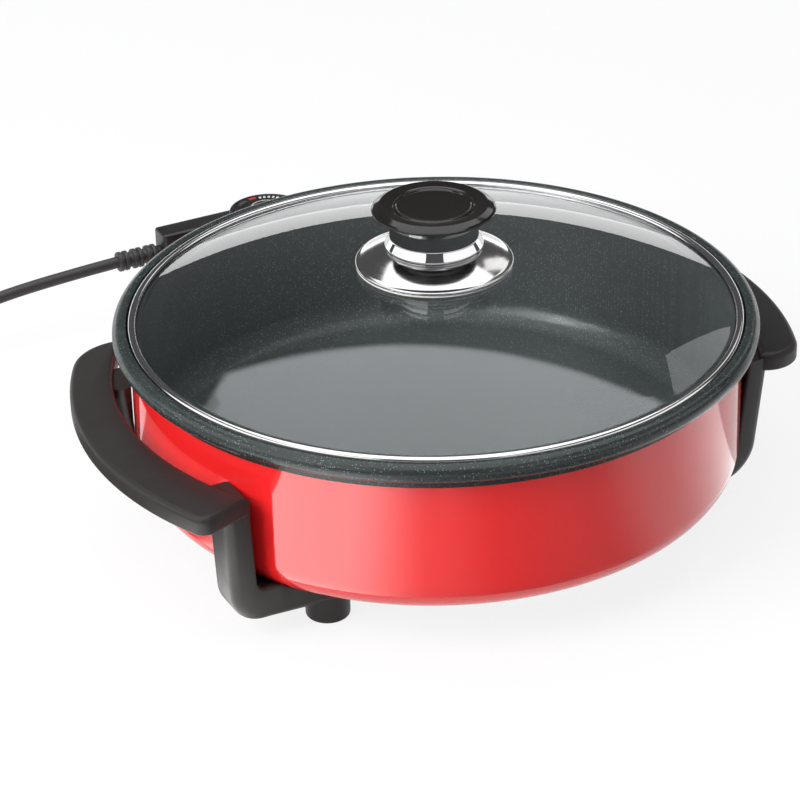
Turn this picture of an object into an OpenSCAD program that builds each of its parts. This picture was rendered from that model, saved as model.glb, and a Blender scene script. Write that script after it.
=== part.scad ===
// Round electric skillet with a loose domed glass lid, two arched handles that carry the feet,
// and a plug-in thermostat control on a mains cord. The pan's axis is Z and the table is z = 0.
// Handles lie along X and the control plugs in at +Y.

/* [Pan] */
// Outside diameter over the rolled rim
pan_d = 324; // [300:2:350]
// Height of the rim's top above the table
rim_h = 110; // [102:1:125]
// Diameter of the rolled rim bead
bead_d = 10; // [8:0.5:12]
// How far the bead stands out past the side wall
bead_lip = 8; // [6:0.5:9]
// Thickness of the side wall
wall_t = 3.5; // [2.5:0.5:4.5]
// Thickness of the cooking floor
floor_t = 4; // [3:0.5:6]
// Outside radius where the wall turns into the base
corner_r = 18; // [12:1:26]
// Height of the base above the table
stand_h = 23; // [21:1:28]
// Width of the ledge that carries the lid
ledge_w = 4.5; // [3.5:0.5:5]
// Depth of the ledge below the rim's top
ledge_drop = 6; // [5.5:0.5:8]

/* [Handles] */
// Radial gap between the rim and the grip's inner edge
grip_gap = 1; // [1:0.5:8]
// Radial width of the grip at its middle
grip_w = 25; // [22:1:30]
// How far the centre of the grip's outer arc lies towards its square end
grip_skew = 8.3; // [4:0.1:10]
// Thickness of the grip
grip_t = 9.5; // [8:0.5:14]
// Height of the grip's top above the table
grip_h = 82; // [74:1:92]
// Angle from the handle's middle to the inner corner of the grip's square end
grip_end_a = 30.5; // [29:0.5:34]
// Slant of that end, away from the handle's middle plane
grip_slant = 19; // [12:1:28]
// Angle from the left handle's middle to the inner end of its round tip
grip_tip_a = 37; // [34:1:40]
// Angle from the right handle's middle to the inner end of its shorter tip
short_tip_a = 29.5; // [28.5:0.5:31]
// Rounding of the grip's upper edges
grip_round = 3; // [1.5:0.5:4]
// Corner radius at the grip's square end
grip_corner = 6; // [4:0.5:9]
// Radius of the left grip's round tip, seen from above
grip_tip = 28.5; // [24:0.5:34]
// Radius of the right grip's shorter tip, seen from above
short_tip = 17.5; // [15:0.5:20]
// Distance of the leg near the square end from the handle's middle plane
end_leg_y = 67; // [62:1:70]
// Distance of the left leg near the round tip from the handle's middle plane
tip_leg_y = 55; // [50:1:60]
// Distance of the right leg near the shorter tip from the handle's middle plane
short_leg_y = 70; // [67:1:72]
// How much further in that leg stands than the others
short_leg_in = 6; // [3:0.5:6]
// Width of the leg and of the beam under the pan
leg_w = 23; // [18:1:23]
// Depth of the leg, away from the pan
leg_d = 13; // [11:1:15]
// How far the leg leans in from the grip to the beam
leg_lean = 7; // [4:1:8]
// Outer radius of the bend between leg and beam
leg_bend = 22; // [16:1:26]
// Rounding of the leg's upright edges
leg_round = 5; // [3:0.5:6]
// Height of the beam's lower face above the table
beam_z = 12; // [10:0.5:14]
// Height of the beam's upper face at the leg
beam_top = 30; // [27:1:33]
// Diameter of each foot
foot_d = 22; // [18:1:26]
// How far each foot's axis lies inside the side wall
foot_inset = 31.4; // [28:0.2:36]

/* [Lid] */
// Rise of the glass dome above its edge
dome_h = 27; // [20:1:34]
// Thickness of the glass
glass_t = 4.2; // [3.6:0.1:4.4]
// Sheet thickness of the steel rim band
band_t = 0.6; // [0.5:0.1:0.8]
// Radial width of the rim band's lips
band_lip = 4.8; // [4:0.2:6]
// Diameter of the steel plate under the knob
plate_d = 79; // [70:1:90]
// Rise of the plate from its edge to its middle
plate_rise = 11; // [8:0.5:14]
// Thickness of the plate
plate_t = 1.2; // [0.8:0.1:1.6]

/* [Knob] */
// Widest diameter of the knob's grip
knob_d = 62; // [56:0.5:66]
// Height from the plate's middle to the knob's top
knob_h = 19.5; // [17:0.5:23]
// Diameter of the chrome collar's neck
collar_d = 45.5; // [40:0.5:48]
// Diameter of the knob's stem
stem_d = 14; // [11:0.5:18]
// Diameter of the knob's screw
knob_screw_d = 5; // [4:0.5:6]

/* [Heater] */
// Radius of the heating ring's centre line
ring_r = 90; // [80:1:100]
// Diameter of the heating element's sheath
element_d = 8; // [6.5:0.5:9]
// Bend radius where the element turns out to its terminals
element_bend = 12; // [10:1:16]
// Half the distance between the two terminal pins
pin_x = 15; // [14:0.5:18]
// Diameter of the terminal pins
pin_d = 4; // [3:0.5:5]
// Width of the heat spreader ring
spreader_w = 24; // [18:1:30]
// Thickness of the heat spreader ring
spreader_t = 6; // [4:0.5:7]
// Diameter of the thermostat probe
probe_d = 6; // [5:0.5:7]
// Length of the guide that holds the probe
guide_l = 52; // [40:1:60]

/* [Control] */
// Depth of the terminal shroud's socket
socket_l = 23; // [18:1:30]
// Half the width of the plug-in block
block_x = 29.8; // [27:0.2:32]
// Half the height of the plug-in block
block_z = 10.2; // [9:0.2:11]
// Wall thickness of the control's housing
case_t = 2.5; // [2:0.5:3]
// Height of the housing's top above the table
case_top = 53; // [48:1:58]
// Height of the seam between the housing's halves
seam_z = 31; // [30:0.5:33]
// Length of the housing's neck, from the shroud to the dial
neck_l = 61; // [55:1:75]
// Sideways offset of the dial from the pan's middle plane
dial_x = 22; // [18:1:28]
// Radius of the housing's round head under the dial
head_r = 25; // [24:0.5:28]
// Diameter of the dial
dial_d = 44; // [38:1:46]
// Height of the dial's skirt
dial_h = 6; // [5:0.5:8]
// Diameter of the dial's spindle
spindle_d = 6; // [5:0.5:7]
// Number of grip flutes around the dial
flutes = 36; // [24:1:40]
// Length of the arm that the cord leaves from, to the left of the pan's middle plane
arm_l = 39.5; // [34:0.5:44]
// Depth of that arm
arm_w = 15; // [14:0.5:18]

/* [Cord] */
// Diameter of the mains cord
cord_d = 6.8; // [6:0.1:7]
// Length of the strain relief
relief_l = 27; // [24:0.5:32]
// Number of ribs on the strain relief
relief_ribs = 3; // [2:1:4]
// Turns in the stored coil
coil_turns = 4.25; // [4.25:1:5.25]
// Outer radius of the coil's centre line
coil_r = 43.5; // [43:0.5:50]
// Length of the mains plug's body
plug_l = 42; // [36:1:50]
// Width of the mains plug's body
plug_w = 34; // [30:1:38]

/* [Fits] */
// Gap between pieces that seat on each other in one assembly
fit_gap = 0.1; // [0.05:0.05:0.2]
// Radial gap of a pin, probe or spindle in its bore
run_gap = 0.08; // [0.05:0.01:0.1]
// Gap between the loose lid and the ledge it rests on
rest_gap = 0.3; // [0.2:0.1:0.5]
// Gap around the lid and around the plug-in block
side_gap = 0.6; // [0.4:0.1:1]

/* [Hidden] */
$fn = 96;
eps = 0.01;

// Pan
wall_ro = pan_d / 2 - bead_lip;
wall_ri = wall_ro - wall_t;
bead_c = (pan_d - bead_d) / 2;
bead_z = rim_h - bead_d / 2;
ledge_z = rim_h - ledge_drop;
ledge_r = wall_ri + ledge_w;

// Handles, all for one on the +X side whose square end points to -Y
grip_ri = pan_d / 2 + grip_gap;
grip_ro = grip_ri + grip_w;
grip_z = grip_h - grip_t;
foot_a = 35.6;
foot_p = polar(wall_ro - foot_inset, foot_a);
leg_x = wall_ro - leg_d / 2 - 0.5;
beam_l = leg_x - foot_p.x;
leg_out = beam_l + leg_d / 2;
leg_in = beam_l - leg_d / 2;
leg_tilt = atan(leg_lean / (grip_z - beam_z));
leg_fillet = 5;
bend_p = [leg_out - leg_lean - leg_bend * (1 - sin(leg_tilt)) / cos(leg_tilt), beam_z + leg_bend];
fillet_p = [
    leg_in - (grip_z - beam_top - leg_fillet) * tan(leg_tilt) - leg_fillet / cos(leg_tilt),
    beam_top + leg_fillet
];
leg_rise = 5 * [tan(leg_tilt), 1];
leg_places = concat(
    [for (x = [-8, -3]) [[x, beam_z], [x, beam_top], leg_w + 1.5 * x + 2]],
    [
        for (i = [0 : 8])
            let (a = -90 + (90 - leg_tilt) * i / 8)
            [bend_p + polar(leg_bend, a), fillet_p + polar(leg_fillet, a), leg_w]
    ],
    [[[leg_out, grip_z] + leg_rise, [leg_in, grip_z] + leg_rise, leg_w]]
);
end_in = polar(1, 90 - grip_slant);
end_along = polar(1, -grip_slant);
end_off = end_in * polar(grip_ri, -grip_end_a);
arc_p = [0, -grip_skew];
corner_p = end_point(arc_p, grip_ro - grip_corner, grip_corner);
corner_a = atan2(corner_p.y - arc_p.y, corner_p.x - arc_p.x);
corner_turn = 90 + grip_slant + corner_a;
stud_d = 5;
nut_af = 8;
nut_h = 4;
washer_h = 1;
foot_bore = 11;
foot_seat = stand_h - 8;

// Lid
lid_r = ledge_r - side_gap;
lid_z = ledge_z + rest_gap;
glass_r = lid_r - band_t - fit_gap;
glass_z = lid_z + band_t + fit_gap;
dome_r = lid_r - band_lip - 1;
dome_top = glass_z + glass_t + dome_h;
dome_ball = (dome_r * dome_r + dome_h * dome_h) / (2 * dome_h);
plate_r = plate_d / 2;
gasket_t = 0.8;
plate_z = dome_top - dome_ball + sqrt(dome_ball * dome_ball - plate_r * plate_r) + gasket_t;
plate_ball = (plate_r * plate_r + plate_rise * plate_rise) / (2 * plate_rise);
plate_top = plate_z + plate_t + plate_rise;
knob_top = plate_top + knob_h;
knob_r = knob_d / 2;
collar_r = collar_d / 2;
collar_t = 1.5;
collar_top = knob_top - 6;
collar_z = plate_z + plate_t + plate_rise - plate_ball
    + sqrt(plate_ball * plate_ball - pow(collar_r + 1.8, 2)) + fit_gap;
glass_low = dome_top - glass_t;
hole_r = knob_screw_d / 2 + 1.5;

// Heater and socket
element_z = stand_h - element_d / 2 - 0.4;
gap_a = asin((element_bend + pin_x) / (ring_r + element_bend));
bend_y = (ring_r + element_bend) * cos(gap_a);
tail_y = wall_ro - 14;
bush_l = 8;
shroud_t = 2.5;
shroud_y = wall_ro + 2.5;
shroud_back = 3.5;
socket_y = shroud_y + shroud_back;
socket_end = socket_y + socket_l;
pin_end = socket_end - 3;
lug_w = 10;
lug_x = pin_x + element_d / 2 + 2 + lug_w / 2;
lug_z = stand_h - 4.5;
lug_y = tail_y - 10;
lug_screw_d = 4;
guide_w = probe_d + 10;
guide_y = ring_r - guide_l / 2 - 4;
probe_tip = guide_y + 4;

// Control housing
block_y = socket_y + 4;
neck_y = socket_end + 3;
neck_x = block_x - 1.8;
neck_top = seam_z + 10;
dial_y = neck_y + neck_l;
case_z = element_z - block_z - 1.2;
arm_y = dial_y + 9.2;
arm_end = -arm_l;
arm_mid = arm_y + arm_w / 2;
cord_z = case_top - 13;
block_end = neck_y + 20;
bush_d = spindle_d + 4;
dial_gap = 0.8;
post_r = 3.2;
post_hole = 1.25;
posts = [
    [-neck_x + case_t + post_r - 0.7, block_end + 6],
    [neck_x - case_t - post_r + 0.7, block_end + 6],
    [dial_x, dial_y + head_r - case_t - post_r + 0.7]
];

// Cord, as it leaves the strain relief and comes down to the table
cord_y = arm_mid;
relief_x = arm_end - relief_l;
cord_route = [
    [-84, 39.4], [-97, 38.8], [-110, 38.1], [-123, 37.2], [-136, 35.9], [-149, 34.1], [-162, 31.6],
    [-175, 28.4], [-188, 24.6], [-201, 20.4], [-214, 16], [-227, 11.6], [-238, 8], [-247, 5.6], [-255, 4.4]
];
run_points = concat([[relief_x, cord_y, cord_z]], [for (p = cord_route) [p.x, cord_y, p.y]]);
tie_t = 0.8;
coil_pitch = cord_d + 0.8;
layer_step = cord_d + 0.6;
coil_x = -262;
coil_y = cord_y - coil_r;
coil_low = cord_d / 2 + tie_t + 0.2;
loop_rings = 24;

function ease(x) = let (c = min(1, max(0, x))) c * c * (3 - 2 * c);
function turn_r(t) = coil_r - coil_pitch * min(t, coil_turns - t);
function turn_z(t) = coil_low + layer_step * ease((t - coil_turns / 2) / 0.5 + 0.5);
function turn_p(t) = [
    coil_x + turn_r(t) * cos(90 + 360 * t),
    coil_y + turn_r(t) * sin(90 + 360 * t),
    turn_z(t)
];
coil_loops = [for (i = [0 : round(coil_turns * loop_rings)]) turn_p(i / loop_rings)];
coil_end = turn_p(coil_turns);
plug_y = coil_end.y - 30;
coil_points = concat(
    [[run_points[len(run_points) - 1].x, cord_y, coil_low]],
    coil_loops,
    [[coil_end.x, coil_end.y - 10, coil_end.z], [coil_end.x, plug_y + fit_gap, coil_end.z]]
);
coil_gap = min([
    for (i = [0 : len(coil_loops) - 1], j = [i + loop_rings / 2 : 1 : len(coil_loops) - 1])
        norm(coil_loops[i] - coil_loops[j])
]) - cord_d;
echo(str("Least gap between turns of the coil: ", coil_gap, " mm"));

// Shared shapes

// Half section of a round vessel: radius r, from z0 to z1, with its lower corner rounded to c
module cup_2d(r, z0, z1, c) {
    translate([0, z0]) square([r - c, z1 - z0]);
    translate([0, z0 + c]) square([r, z1 - z0 - c]);
    translate([r - c, z0 + c]) circle(c);
}

// Half section of a disc with radius r and height h, its upper corner rounded to c
module disc_2d(r, h, c) {
    square([r, h - c]);
    square([r - c, h]);
    translate([r - c, h - c]) circle(c);
}

// Box between two corners, its upper edges broken by c
module soft_box(low, high, c) {
    hull() {
        translate(low) cube(high - low - [0, 0, c]);
        translate(low + [c, c, 0]) cube(high - low - [2 * c, 2 * c, 0]);
    }
}

// Cylinder along +Y
module rod_y(x, y0, y1, z, d) {
    translate([x, y0, z]) rotate([-90, 0, 0]) cylinder(d = d, h = y1 - y0);
}

// Solid through a row of closed loops that run counter-clockwise about the way from first to last
module skin(loops) {
    n = len(loops[0]);
    last = (len(loops) - 1) * n;
    sides = [
        for (j = [0 : len(loops) - 2], i = [0 : n - 1])
            let (a = j * n + i, b = j * n + (i + 1) % n)
            each [[a, a + n, b], [b, a + n, b + n]]
    ];
    ends = [
        for (i = [0 : n / 2 - 2])
            let (strip = [i, i + 1, n - 2 - i, n - 1 - i])
            each [strip, [for (k = [3 : -1 : 0]) last + strip[k]]]
    ];
    polyhedron([for (l = loops) each l], concat(sides, ends));
}

// Round tube swept along points whose path is nowhere upright
module swept_tube(points, d, sides) {
    last = len(points) - 1;
    skin([
        for (i = [0 : last])
            let (
                step = points[min(i + 1, last)] - points[max(i - 1, 0)],
                along = step / norm(step),
                side = cross(along, [0, 0, 1]),
                u = side / norm(side),
                v = cross(u, along)
            )
            [
                for (k = [0 : sides - 1])
                    let (q = polar(d / 2, 360 * k / sides)) points[i] + q.x * u + q.y * v
            ]
    ]);
}

// Pan and heater

// The pan's outside, grown by gap, as a cutter for what fits against it
module pan_envelope(gap) {
    rotate_extrude() cup_2d(wall_ro + gap, stand_h, rim_h, corner_r);
}

module lug_holes(d, z0, z1) {
    for (s = [-1, 1]) translate([s * lug_x, lug_y + lug_w / 2, z0]) cylinder(d = d, h = z1 - z0);
}

module pan() {
    color("firebrick") difference() {
        rotate_extrude() difference() {
            union() {
                cup_2d(wall_ro, stand_h, bead_z, corner_r);
                translate([bead_c, bead_z]) circle(d = bead_d);
            }
            cup_2d(wall_ri, stand_h + floor_t, rim_h + 1, corner_r - wall_t);
            translate([0, ledge_z]) square([ledge_r, ledge_drop + 1]);
        }
        lug_holes(lug_screw_d + 2 * fit_gap, stand_h - 1, stand_h + floor_t - 1.2);
    }
}

// The heating element's sheath: an open ring whose two ends turn out towards +Y
module element_path(d) {
    translate([0, 0, element_z]) {
        rotate(90 + gap_a) rotate_extrude(angle = 360 - 2 * gap_a) translate([ring_r, 0]) circle(d = d);
        for (s = [0, 1]) mirror([s, 0, 0]) {
            translate((ring_r + element_bend) * [-sin(gap_a), cos(gap_a)])
                rotate(gap_a - 90) rotate_extrude(angle = 90 - gap_a)
                    translate([element_bend, 0]) circle(d = d);
            rod_y(-pin_x, bend_y, tail_y, 0, d);
            translate(ring_r * [-sin(gap_a), cos(gap_a)]) sphere(d = d + 0.6);
            translate([-pin_x, bend_y]) sphere(d = d + 0.6);
        }
    }
}

module heating_element() {
    color("dimgray") element_path(element_d);
}

module heat_spreader() {
    color("silver") difference() {
        translate([0, 0, stand_h - spreader_t]) rotate_extrude()
            translate([ring_r - spreader_w / 2, 0]) square([spreader_w, spreader_t]);
        element_path(element_d + 2 * fit_gap);
        translate([-guide_w / 2 - 1, 0, 0]) cube([guide_w + 2, pan_d, stand_h + 1]);
    }
}

module element_insulators() {
    color("ivory") for (s = [-1, 1]) difference() {
        rod_y(s * pin_x, tail_y, tail_y + bush_l, element_z, element_d - 1);
        rod_y(s * pin_x, tail_y - 1, tail_y + bush_l + 1, element_z, pin_d + 2 * fit_gap);
    }
}

module terminal_pins() {
    color("gainsboro") for (s = [-1, 1]) {
        rod_y(s * pin_x, tail_y, pin_end, element_z, pin_d);
        translate([s * pin_x, pin_end, element_z]) sphere(d = pin_d);
    }
}

module terminal_shroud() {
    inner = [block_x + side_gap, block_z + side_gap];
    outer = inner + [shroud_t, shroud_t];
    color("black") difference() {
        union() {
            translate([-outer.x, shroud_y, element_z - outer.y])
                cube([2 * outer.x, shroud_back + socket_l, 2 * outer.y]);
            for (s = [-1, 1]) {
                translate([s * lug_x - lug_w / 2, lug_y + lug_w / 2, lug_z])
                    cube([lug_w, shroud_y - lug_y - lug_w / 2 + 1, stand_h - lug_z - fit_gap]);
                translate([s * lug_x, lug_y + lug_w / 2, lug_z])
                    cylinder(d = lug_w, h = stand_h - lug_z - fit_gap);
            }
        }
        translate([-inner.x, socket_y, element_z - inner.y]) cube([2 * inner.x, socket_l + 1, 2 * inner.y]);
        for (s = [-1, 1]) rod_y(s * pin_x, shroud_y - 1, socket_y + 1, element_z, pin_d + 0.4);
        rod_y(0, shroud_y - 1, socket_y + 1, element_z, probe_d + 2);
        lug_holes(lug_screw_d + 0.4, lug_z - 1, stand_h);
    }
}

module shroud_screws() {
    color("silver") {
        lug_holes(lug_screw_d, lug_z - eps, stand_h + floor_t - 1.5);
        lug_holes(2 * lug_screw_d, lug_z - 3, lug_z);
    }
}

module probe_guide() {
    color("silver") difference() {
        translate([-guide_w / 2, guide_y, element_z - guide_w / 2])
            cube([guide_w, guide_l, stand_h - element_z + guide_w / 2]);
        rod_y(0, guide_y - 1, guide_y + guide_l + 1, element_z, probe_d + 2 * run_gap);
    }
}

// Handles

function polar(r, a) = r * [cos(a), sin(a)];
// Angle of a triangle between sides a and b, across from side c
function side_angle(a, b, c) = acos((a * a + b * b - c * c) / (2 * a * b));
// Point at distance r from c that lies inset from the grip's square end
function end_point(c, r, inset) =
    let (h = end_off + inset, off = h - c * end_in)
    h * end_in + (c * end_along + sqrt(r * r - off * off)) * end_along;
// Outline of the grip, drawn in by inset: the slanted square end at -Y, the outer arc and the round tip
// at +Y, with its radius and the angle of its inner end. The first half of the points run along the
// outside and the second half along the inside.
function grip_loop(inset, tip_r, tip_end_a) =
    let (
        tip_c = grip_ro - tip_r,
        tip_q = polar(grip_ri, tip_end_a) - arc_p,
        tip_a = atan2(tip_q.y, tip_q.x) - side_angle(tip_c, norm(tip_q), tip_r),
        tip_p = arc_p + polar(tip_c, tip_a),
        front = [
            for (i = [0 : 4])
                corner_p + polar(grip_corner - inset, -grip_slant - 90 + i * corner_turn / 4)
        ],
        outer = [
            for (i = [1 : 15]) arc_p + polar(grip_ro - inset, corner_a + (tip_a - corner_a) * i / 16)
        ],
        a1 = atan2(tip_p.y, tip_p.x) + side_angle(norm(tip_p), grip_ri + inset, tip_r - inset),
        reach = polar(grip_ri + inset, a1) - tip_p,
        tip_turn = atan2(reach.y, reach.x) - tip_a,
        tip = [
            for (i = [0 : 8]) tip_p + polar(tip_r - inset, tip_a + tip_turn * min(i / 8, 0.97))
        ],
        n = len(front) + len(outer) + len(tip),
        start = end_point([0, 0], grip_ri + inset, inset),
        a0 = atan2(start.y, start.x),
        inner = [for (i = [n - 1 : -1 : 0]) polar(grip_ri + inset, a0 + (a1 - a0) * i / (n - 1))]
    )
    concat(front, outer, tip, inner);

// The grip: that outline with its upper edges rounded
module grip(tip_r, tip_end_a) {
    levels = concat(
        [[0, 0]],
        [for (a = [0 : 30 : 90]) [grip_round * (1 - cos(a)), grip_t - grip_round * (1 - sin(a))]]
    );
    skin([for (l = levels) [for (p = grip_loop(l[0], tip_r, tip_end_a)) [p.x, p.y, l[1]]]]);
}

// Across the leg at one place: flat towards the pan, rounded on the outside. A place gives the outer
// and the inner point of the side profile and the width; from foot to leg the loop moves by aside.
function leg_loop(place, aside) =
    let (
        move = aside * min(1, max(0, place[1].x / fillet_p.x)),
        depth = norm(place[0] - place[1]),
        way = (place[0] - place[1]) / depth,
        half = place[2] / 2,
        r = min(leg_round, half - 2),
        side = concat(
            [for (b = [90 : -18 : 0]) [depth - r * (1 - sin(b)), half - r * (1 - cos(b))]],
            [[1.5, half], [0, half - 1.5]]
        ),
        outline = concat(side, [for (i = [len(side) - 1 : -1 : 0]) [side[i].x, -side[i].y]])
    )
    [
        for (q = outline)
            [place[1].x + q.x * way.x + move.x, q.y + move.y, place[1].y + q.x * way.y]
    ];

// One leg, its beam and its foot, on the +Y side: the leg stands leg_y from the handle's middle plane,
// and further in by inward
module leg(leg_y, inward = 0) {
    translate(foot_p) {
        skin([for (place = leg_places) leg_loop(place, [-inward, leg_y - foot_p.y])]);
        cylinder(d = foot_d, h = stand_h);
    }
}

module at_feet() {
    for (s = [0, 1]) mirror([0, s, 0]) translate(foot_p) children();
}

// One handle on the +X side, with its square end at -Y and the given tip and leg at +Y
module handle(tip_r, tip_end_a, leg_y, leg_inward) {
    color([0.1, 0.1, 0.1]) difference() {
        union() {
            translate([0, 0, grip_z]) grip(tip_r, tip_end_a);
            difference() {
                union() {
                    leg(leg_y, leg_inward);
                    mirror([0, 1, 0]) leg(end_leg_y);
                }
                pan_envelope(0.4);
            }
        }
        at_feet() {
            translate([0, 0, -1]) cylinder(d = foot_bore, h = foot_seat + 1);
            cylinder(d = stud_d + 0.5, h = stand_h + 1);
        }
    }
}

module left_handle() {
    mirror([1, 0, 0]) handle(grip_tip, grip_tip_a, tip_leg_y, 0);
}

// Turned half round, so that its tip is in front, and shorter
module right_handle() {
    mirror([0, 1, 0]) handle(short_tip, short_tip_a, short_leg_y, short_leg_in);
}

// The same piece in all four feet, at height z
module in_four_feet(z) {
    for (s = [0, 1]) mirror([s, 0, 0]) at_feet() translate([0, 0, z]) children();
}

module handle_studs() {
    low = foot_seat - nut_h - 3;
    color("silver") in_four_feet(low) cylinder(d = stud_d, h = stand_h - low);
}

module handle_washers() {
    color("silver") in_four_feet(foot_seat - washer_h) difference() {
        cylinder(d = foot_bore - 0.6, h = washer_h);
        translate([0, 0, -1]) cylinder(d = stud_d + 0.4, h = washer_h + 2);
    }
}

module handle_nuts() {
    color("silver") in_four_feet(foot_seat - washer_h - nut_h) difference() {
        cylinder(d = nut_af / cos(30), h = nut_h, $fn = 6);
        translate([0, 0, -1]) cylinder(d = stud_d + 2 * fit_gap, h = nut_h + 2);
    }
}

// Lid and knob

// Half section of a shell cut from a ball whose top is at z, out to radius r
module dome_2d(ball, t, r, z) {
    intersection() {
        difference() {
            translate([0, z - ball]) circle(ball, $fn = 360);
            translate([0, z - ball]) circle(ball - t, $fn = 360);
        }
        translate([0, z - ball]) square([r, ball + 1]);
    }
}

module lid_glass() {
    color([0.75, 0.82, 0.85, 0.4]) difference() {
        rotate_extrude() intersection() {
            union() {
                dome_2d(dome_ball, glass_t, dome_r, dome_top);
                translate([dome_r - glass_t / 2, glass_z]) square([glass_r - dome_r + glass_t / 2, glass_t]);
            }
            translate([0, glass_z]) square([glass_r, dome_top]);
        }
        translate([0, 0, glass_z]) cylinder(r = hole_r, h = dome_top);
    }
}

module lid_band() {
    color("gainsboro") rotate_extrude() difference() {
        translate([lid_r - band_lip, lid_z]) square([band_lip, glass_t + 2 * band_t + 2 * fit_gap]);
        translate([lid_r - band_lip - 1, lid_z + band_t])
            square([band_lip + 1 - band_t, glass_t + 2 * fit_gap]);
    }
}

// Soft ring between the glass and the plate's edge
module plate_gasket() {
    color("gray") rotate_extrude() difference() {
        dome_2d(
            dome_ball + gasket_t - fit_gap, gasket_t - 2 * fit_gap, plate_r - 0.4,
            dome_top + gasket_t - fit_gap
        );
        translate([0, glass_z]) square([plate_r - 4, dome_top]);
    }
}

module knob_plate() {
    color("gainsboro") rotate_extrude() difference() {
        union() {
            dome_2d(plate_ball, plate_t, plate_r, plate_top);
            translate([plate_r - 0.9, plate_top - plate_rise - 0.3]) circle(0.9);
        }
        square([hole_r, 2 * plate_top]);
    }
}

// Waisted sleeve with a rolled foot, open inside
module knob_collar() {
    foot_h = 4.2;
    neck_h = collar_top - collar_z;
    color("silver") rotate_extrude() difference() {
        union() {
            translate([0, collar_z]) square([collar_r, neck_h]);
            translate([0, collar_z]) square([collar_r + 1.8 - foot_h / 2, foot_h]);
            translate([collar_r + 1.8 - foot_h / 2, collar_z + foot_h / 2]) circle(foot_h / 2);
        }
        translate([collar_r + 22, collar_z + foot_h + (neck_h - foot_h) / 2]) circle(22.6);
        translate([0, plate_top - plate_ball]) circle(plate_ball + fit_gap, $fn = 360);
        translate([0, collar_z - 1]) square([collar_r - 2 * collar_t, neck_h + 2]);
    }
}

module knob_grip() {
    rim_z = knob_top - 2.2;
    seat_r = collar_r + 0.6;
    dish_r = knob_r * 0.66;
    color([0.08, 0.08, 0.08]) rotate_extrude() difference() {
        union() {
            polygon([
                [0, collar_top + fit_gap], [seat_r, collar_top + fit_gap], [knob_r - 1.2, rim_z - 1.4],
                [knob_r - 1.2, rim_z + 0.2], [knob_r - 4, knob_top], [dish_r, knob_top - 1.2],
                [0, knob_top - 1.2]
            ]);
            translate([knob_r - 1.2, rim_z - 0.6]) circle(1.2);
            translate([dish_r - 1.4, knob_top - 1.2]) circle(0.8);
            translate([0, plate_top + fit_gap]) square([stem_d / 2, collar_top + 1 - plate_top]);
        }
        translate([0, plate_top]) square([knob_screw_d / 2 + fit_gap, knob_h - 6]);
    }
}

// Soft washer inside the glass, with a bush through the hole
module knob_seal() {
    color("gray") rotate_extrude() {
        translate([knob_screw_d / 2 + fit_gap, glass_low - 2]) square([9, 2 - fit_gap - 0.1]);
        translate([knob_screw_d / 2 + fit_gap, glass_low - 2])
            square([hole_r - knob_screw_d / 2 - 2 * fit_gap, glass_t]);
    }
}

module knob_washer() {
    color("silver") translate([0, 0, glass_low - 3]) difference() {
        cylinder(d = 20, h = 1);
        translate([0, 0, -1]) cylinder(d = knob_screw_d + 2 * fit_gap, h = 3);
    }
}

module knob_screw() {
    color("silver") rotate_extrude() {
        translate([0, glass_low - 3]) square([knob_screw_d / 2, plate_top + knob_h - 7 - glass_low + 3]);
        translate([0, glass_low - 6]) cup_2d(knob_screw_d, 0, 3, 1);
    }
}

// Control

// Round head of the housing, its upper edge broken by c
module head(inset, z0, z1, c) {
    r = head_r - inset;
    translate([dial_x, dial_y, z0]) {
        cylinder(r = r, h = z1 - z0 - c);
        translate([0, 0, z1 - z0 - c]) cylinder(r1 = r, r2 = r - c, h = c);
    }
}

module upper_form() {
    head(0, seam_z, case_top, 1.5);
    soft_box([arm_end, arm_y, seam_z], [dial_x, arm_y + arm_w, case_top], 1.5);
    soft_box([-neck_x, neck_y, seam_z], [neck_x, dial_y, neck_top], 1.5);
}

module upper_hollow() {
    head(case_t, seam_z - 1, case_top - case_t, 0.2);
    translate([arm_end + case_t, arm_y + case_t, seam_z - 1])
        cube([dial_x - arm_end - case_t, arm_w - 2 * case_t, case_top - case_t - seam_z + 1]);
    translate([-neck_x + case_t, neck_y + case_t, seam_z - 1])
        cube([2 * (neck_x - case_t), neck_l - case_t, neck_top - case_t - seam_z + 1]);
}

module lower_form(inset) {
    high = inset > 0 ? seam_z + 1 : seam_z;
    translate([dial_x, dial_y, case_z + inset]) cylinder(r = head_r - inset, h = high - case_z - inset);
    translate([-neck_x + inset, neck_y + inset, case_z + inset])
        cube([2 * (neck_x - inset), dial_y - neck_y - inset, high - case_z - inset]);
    if (inset == 0) translate([arm_end, arm_y, seam_z - case_t]) cube([dial_x - arm_end, arm_w, case_t]);
}

module upper_case() {
    color([0.12, 0.12, 0.12]) {
        difference() {
            union() {
                difference() {
                    upper_form();
                    upper_hollow();
                }
                for (p = posts) translate([p.x, p.y, seam_z])
                    cylinder(r = post_r, h = neck_top - case_t - seam_z + 1);
            }
            translate([dial_x, dial_y, seam_z]) cylinder(d = bush_d + 2 * fit_gap, h = case_top);
            for (p = posts) translate([p.x, p.y, seam_z - 1]) cylinder(r = post_hole + fit_gap, h = 9);
            translate([0, block_end + 4, seam_z]) cylinder(d = 6.2, h = case_top);
            translate([arm_end - 1, arm_mid, cord_z])
                rotate([0, 90, 0]) cylinder(d = cord_d + 1.4, h = case_t + 2);
        }
    }
}

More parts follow.
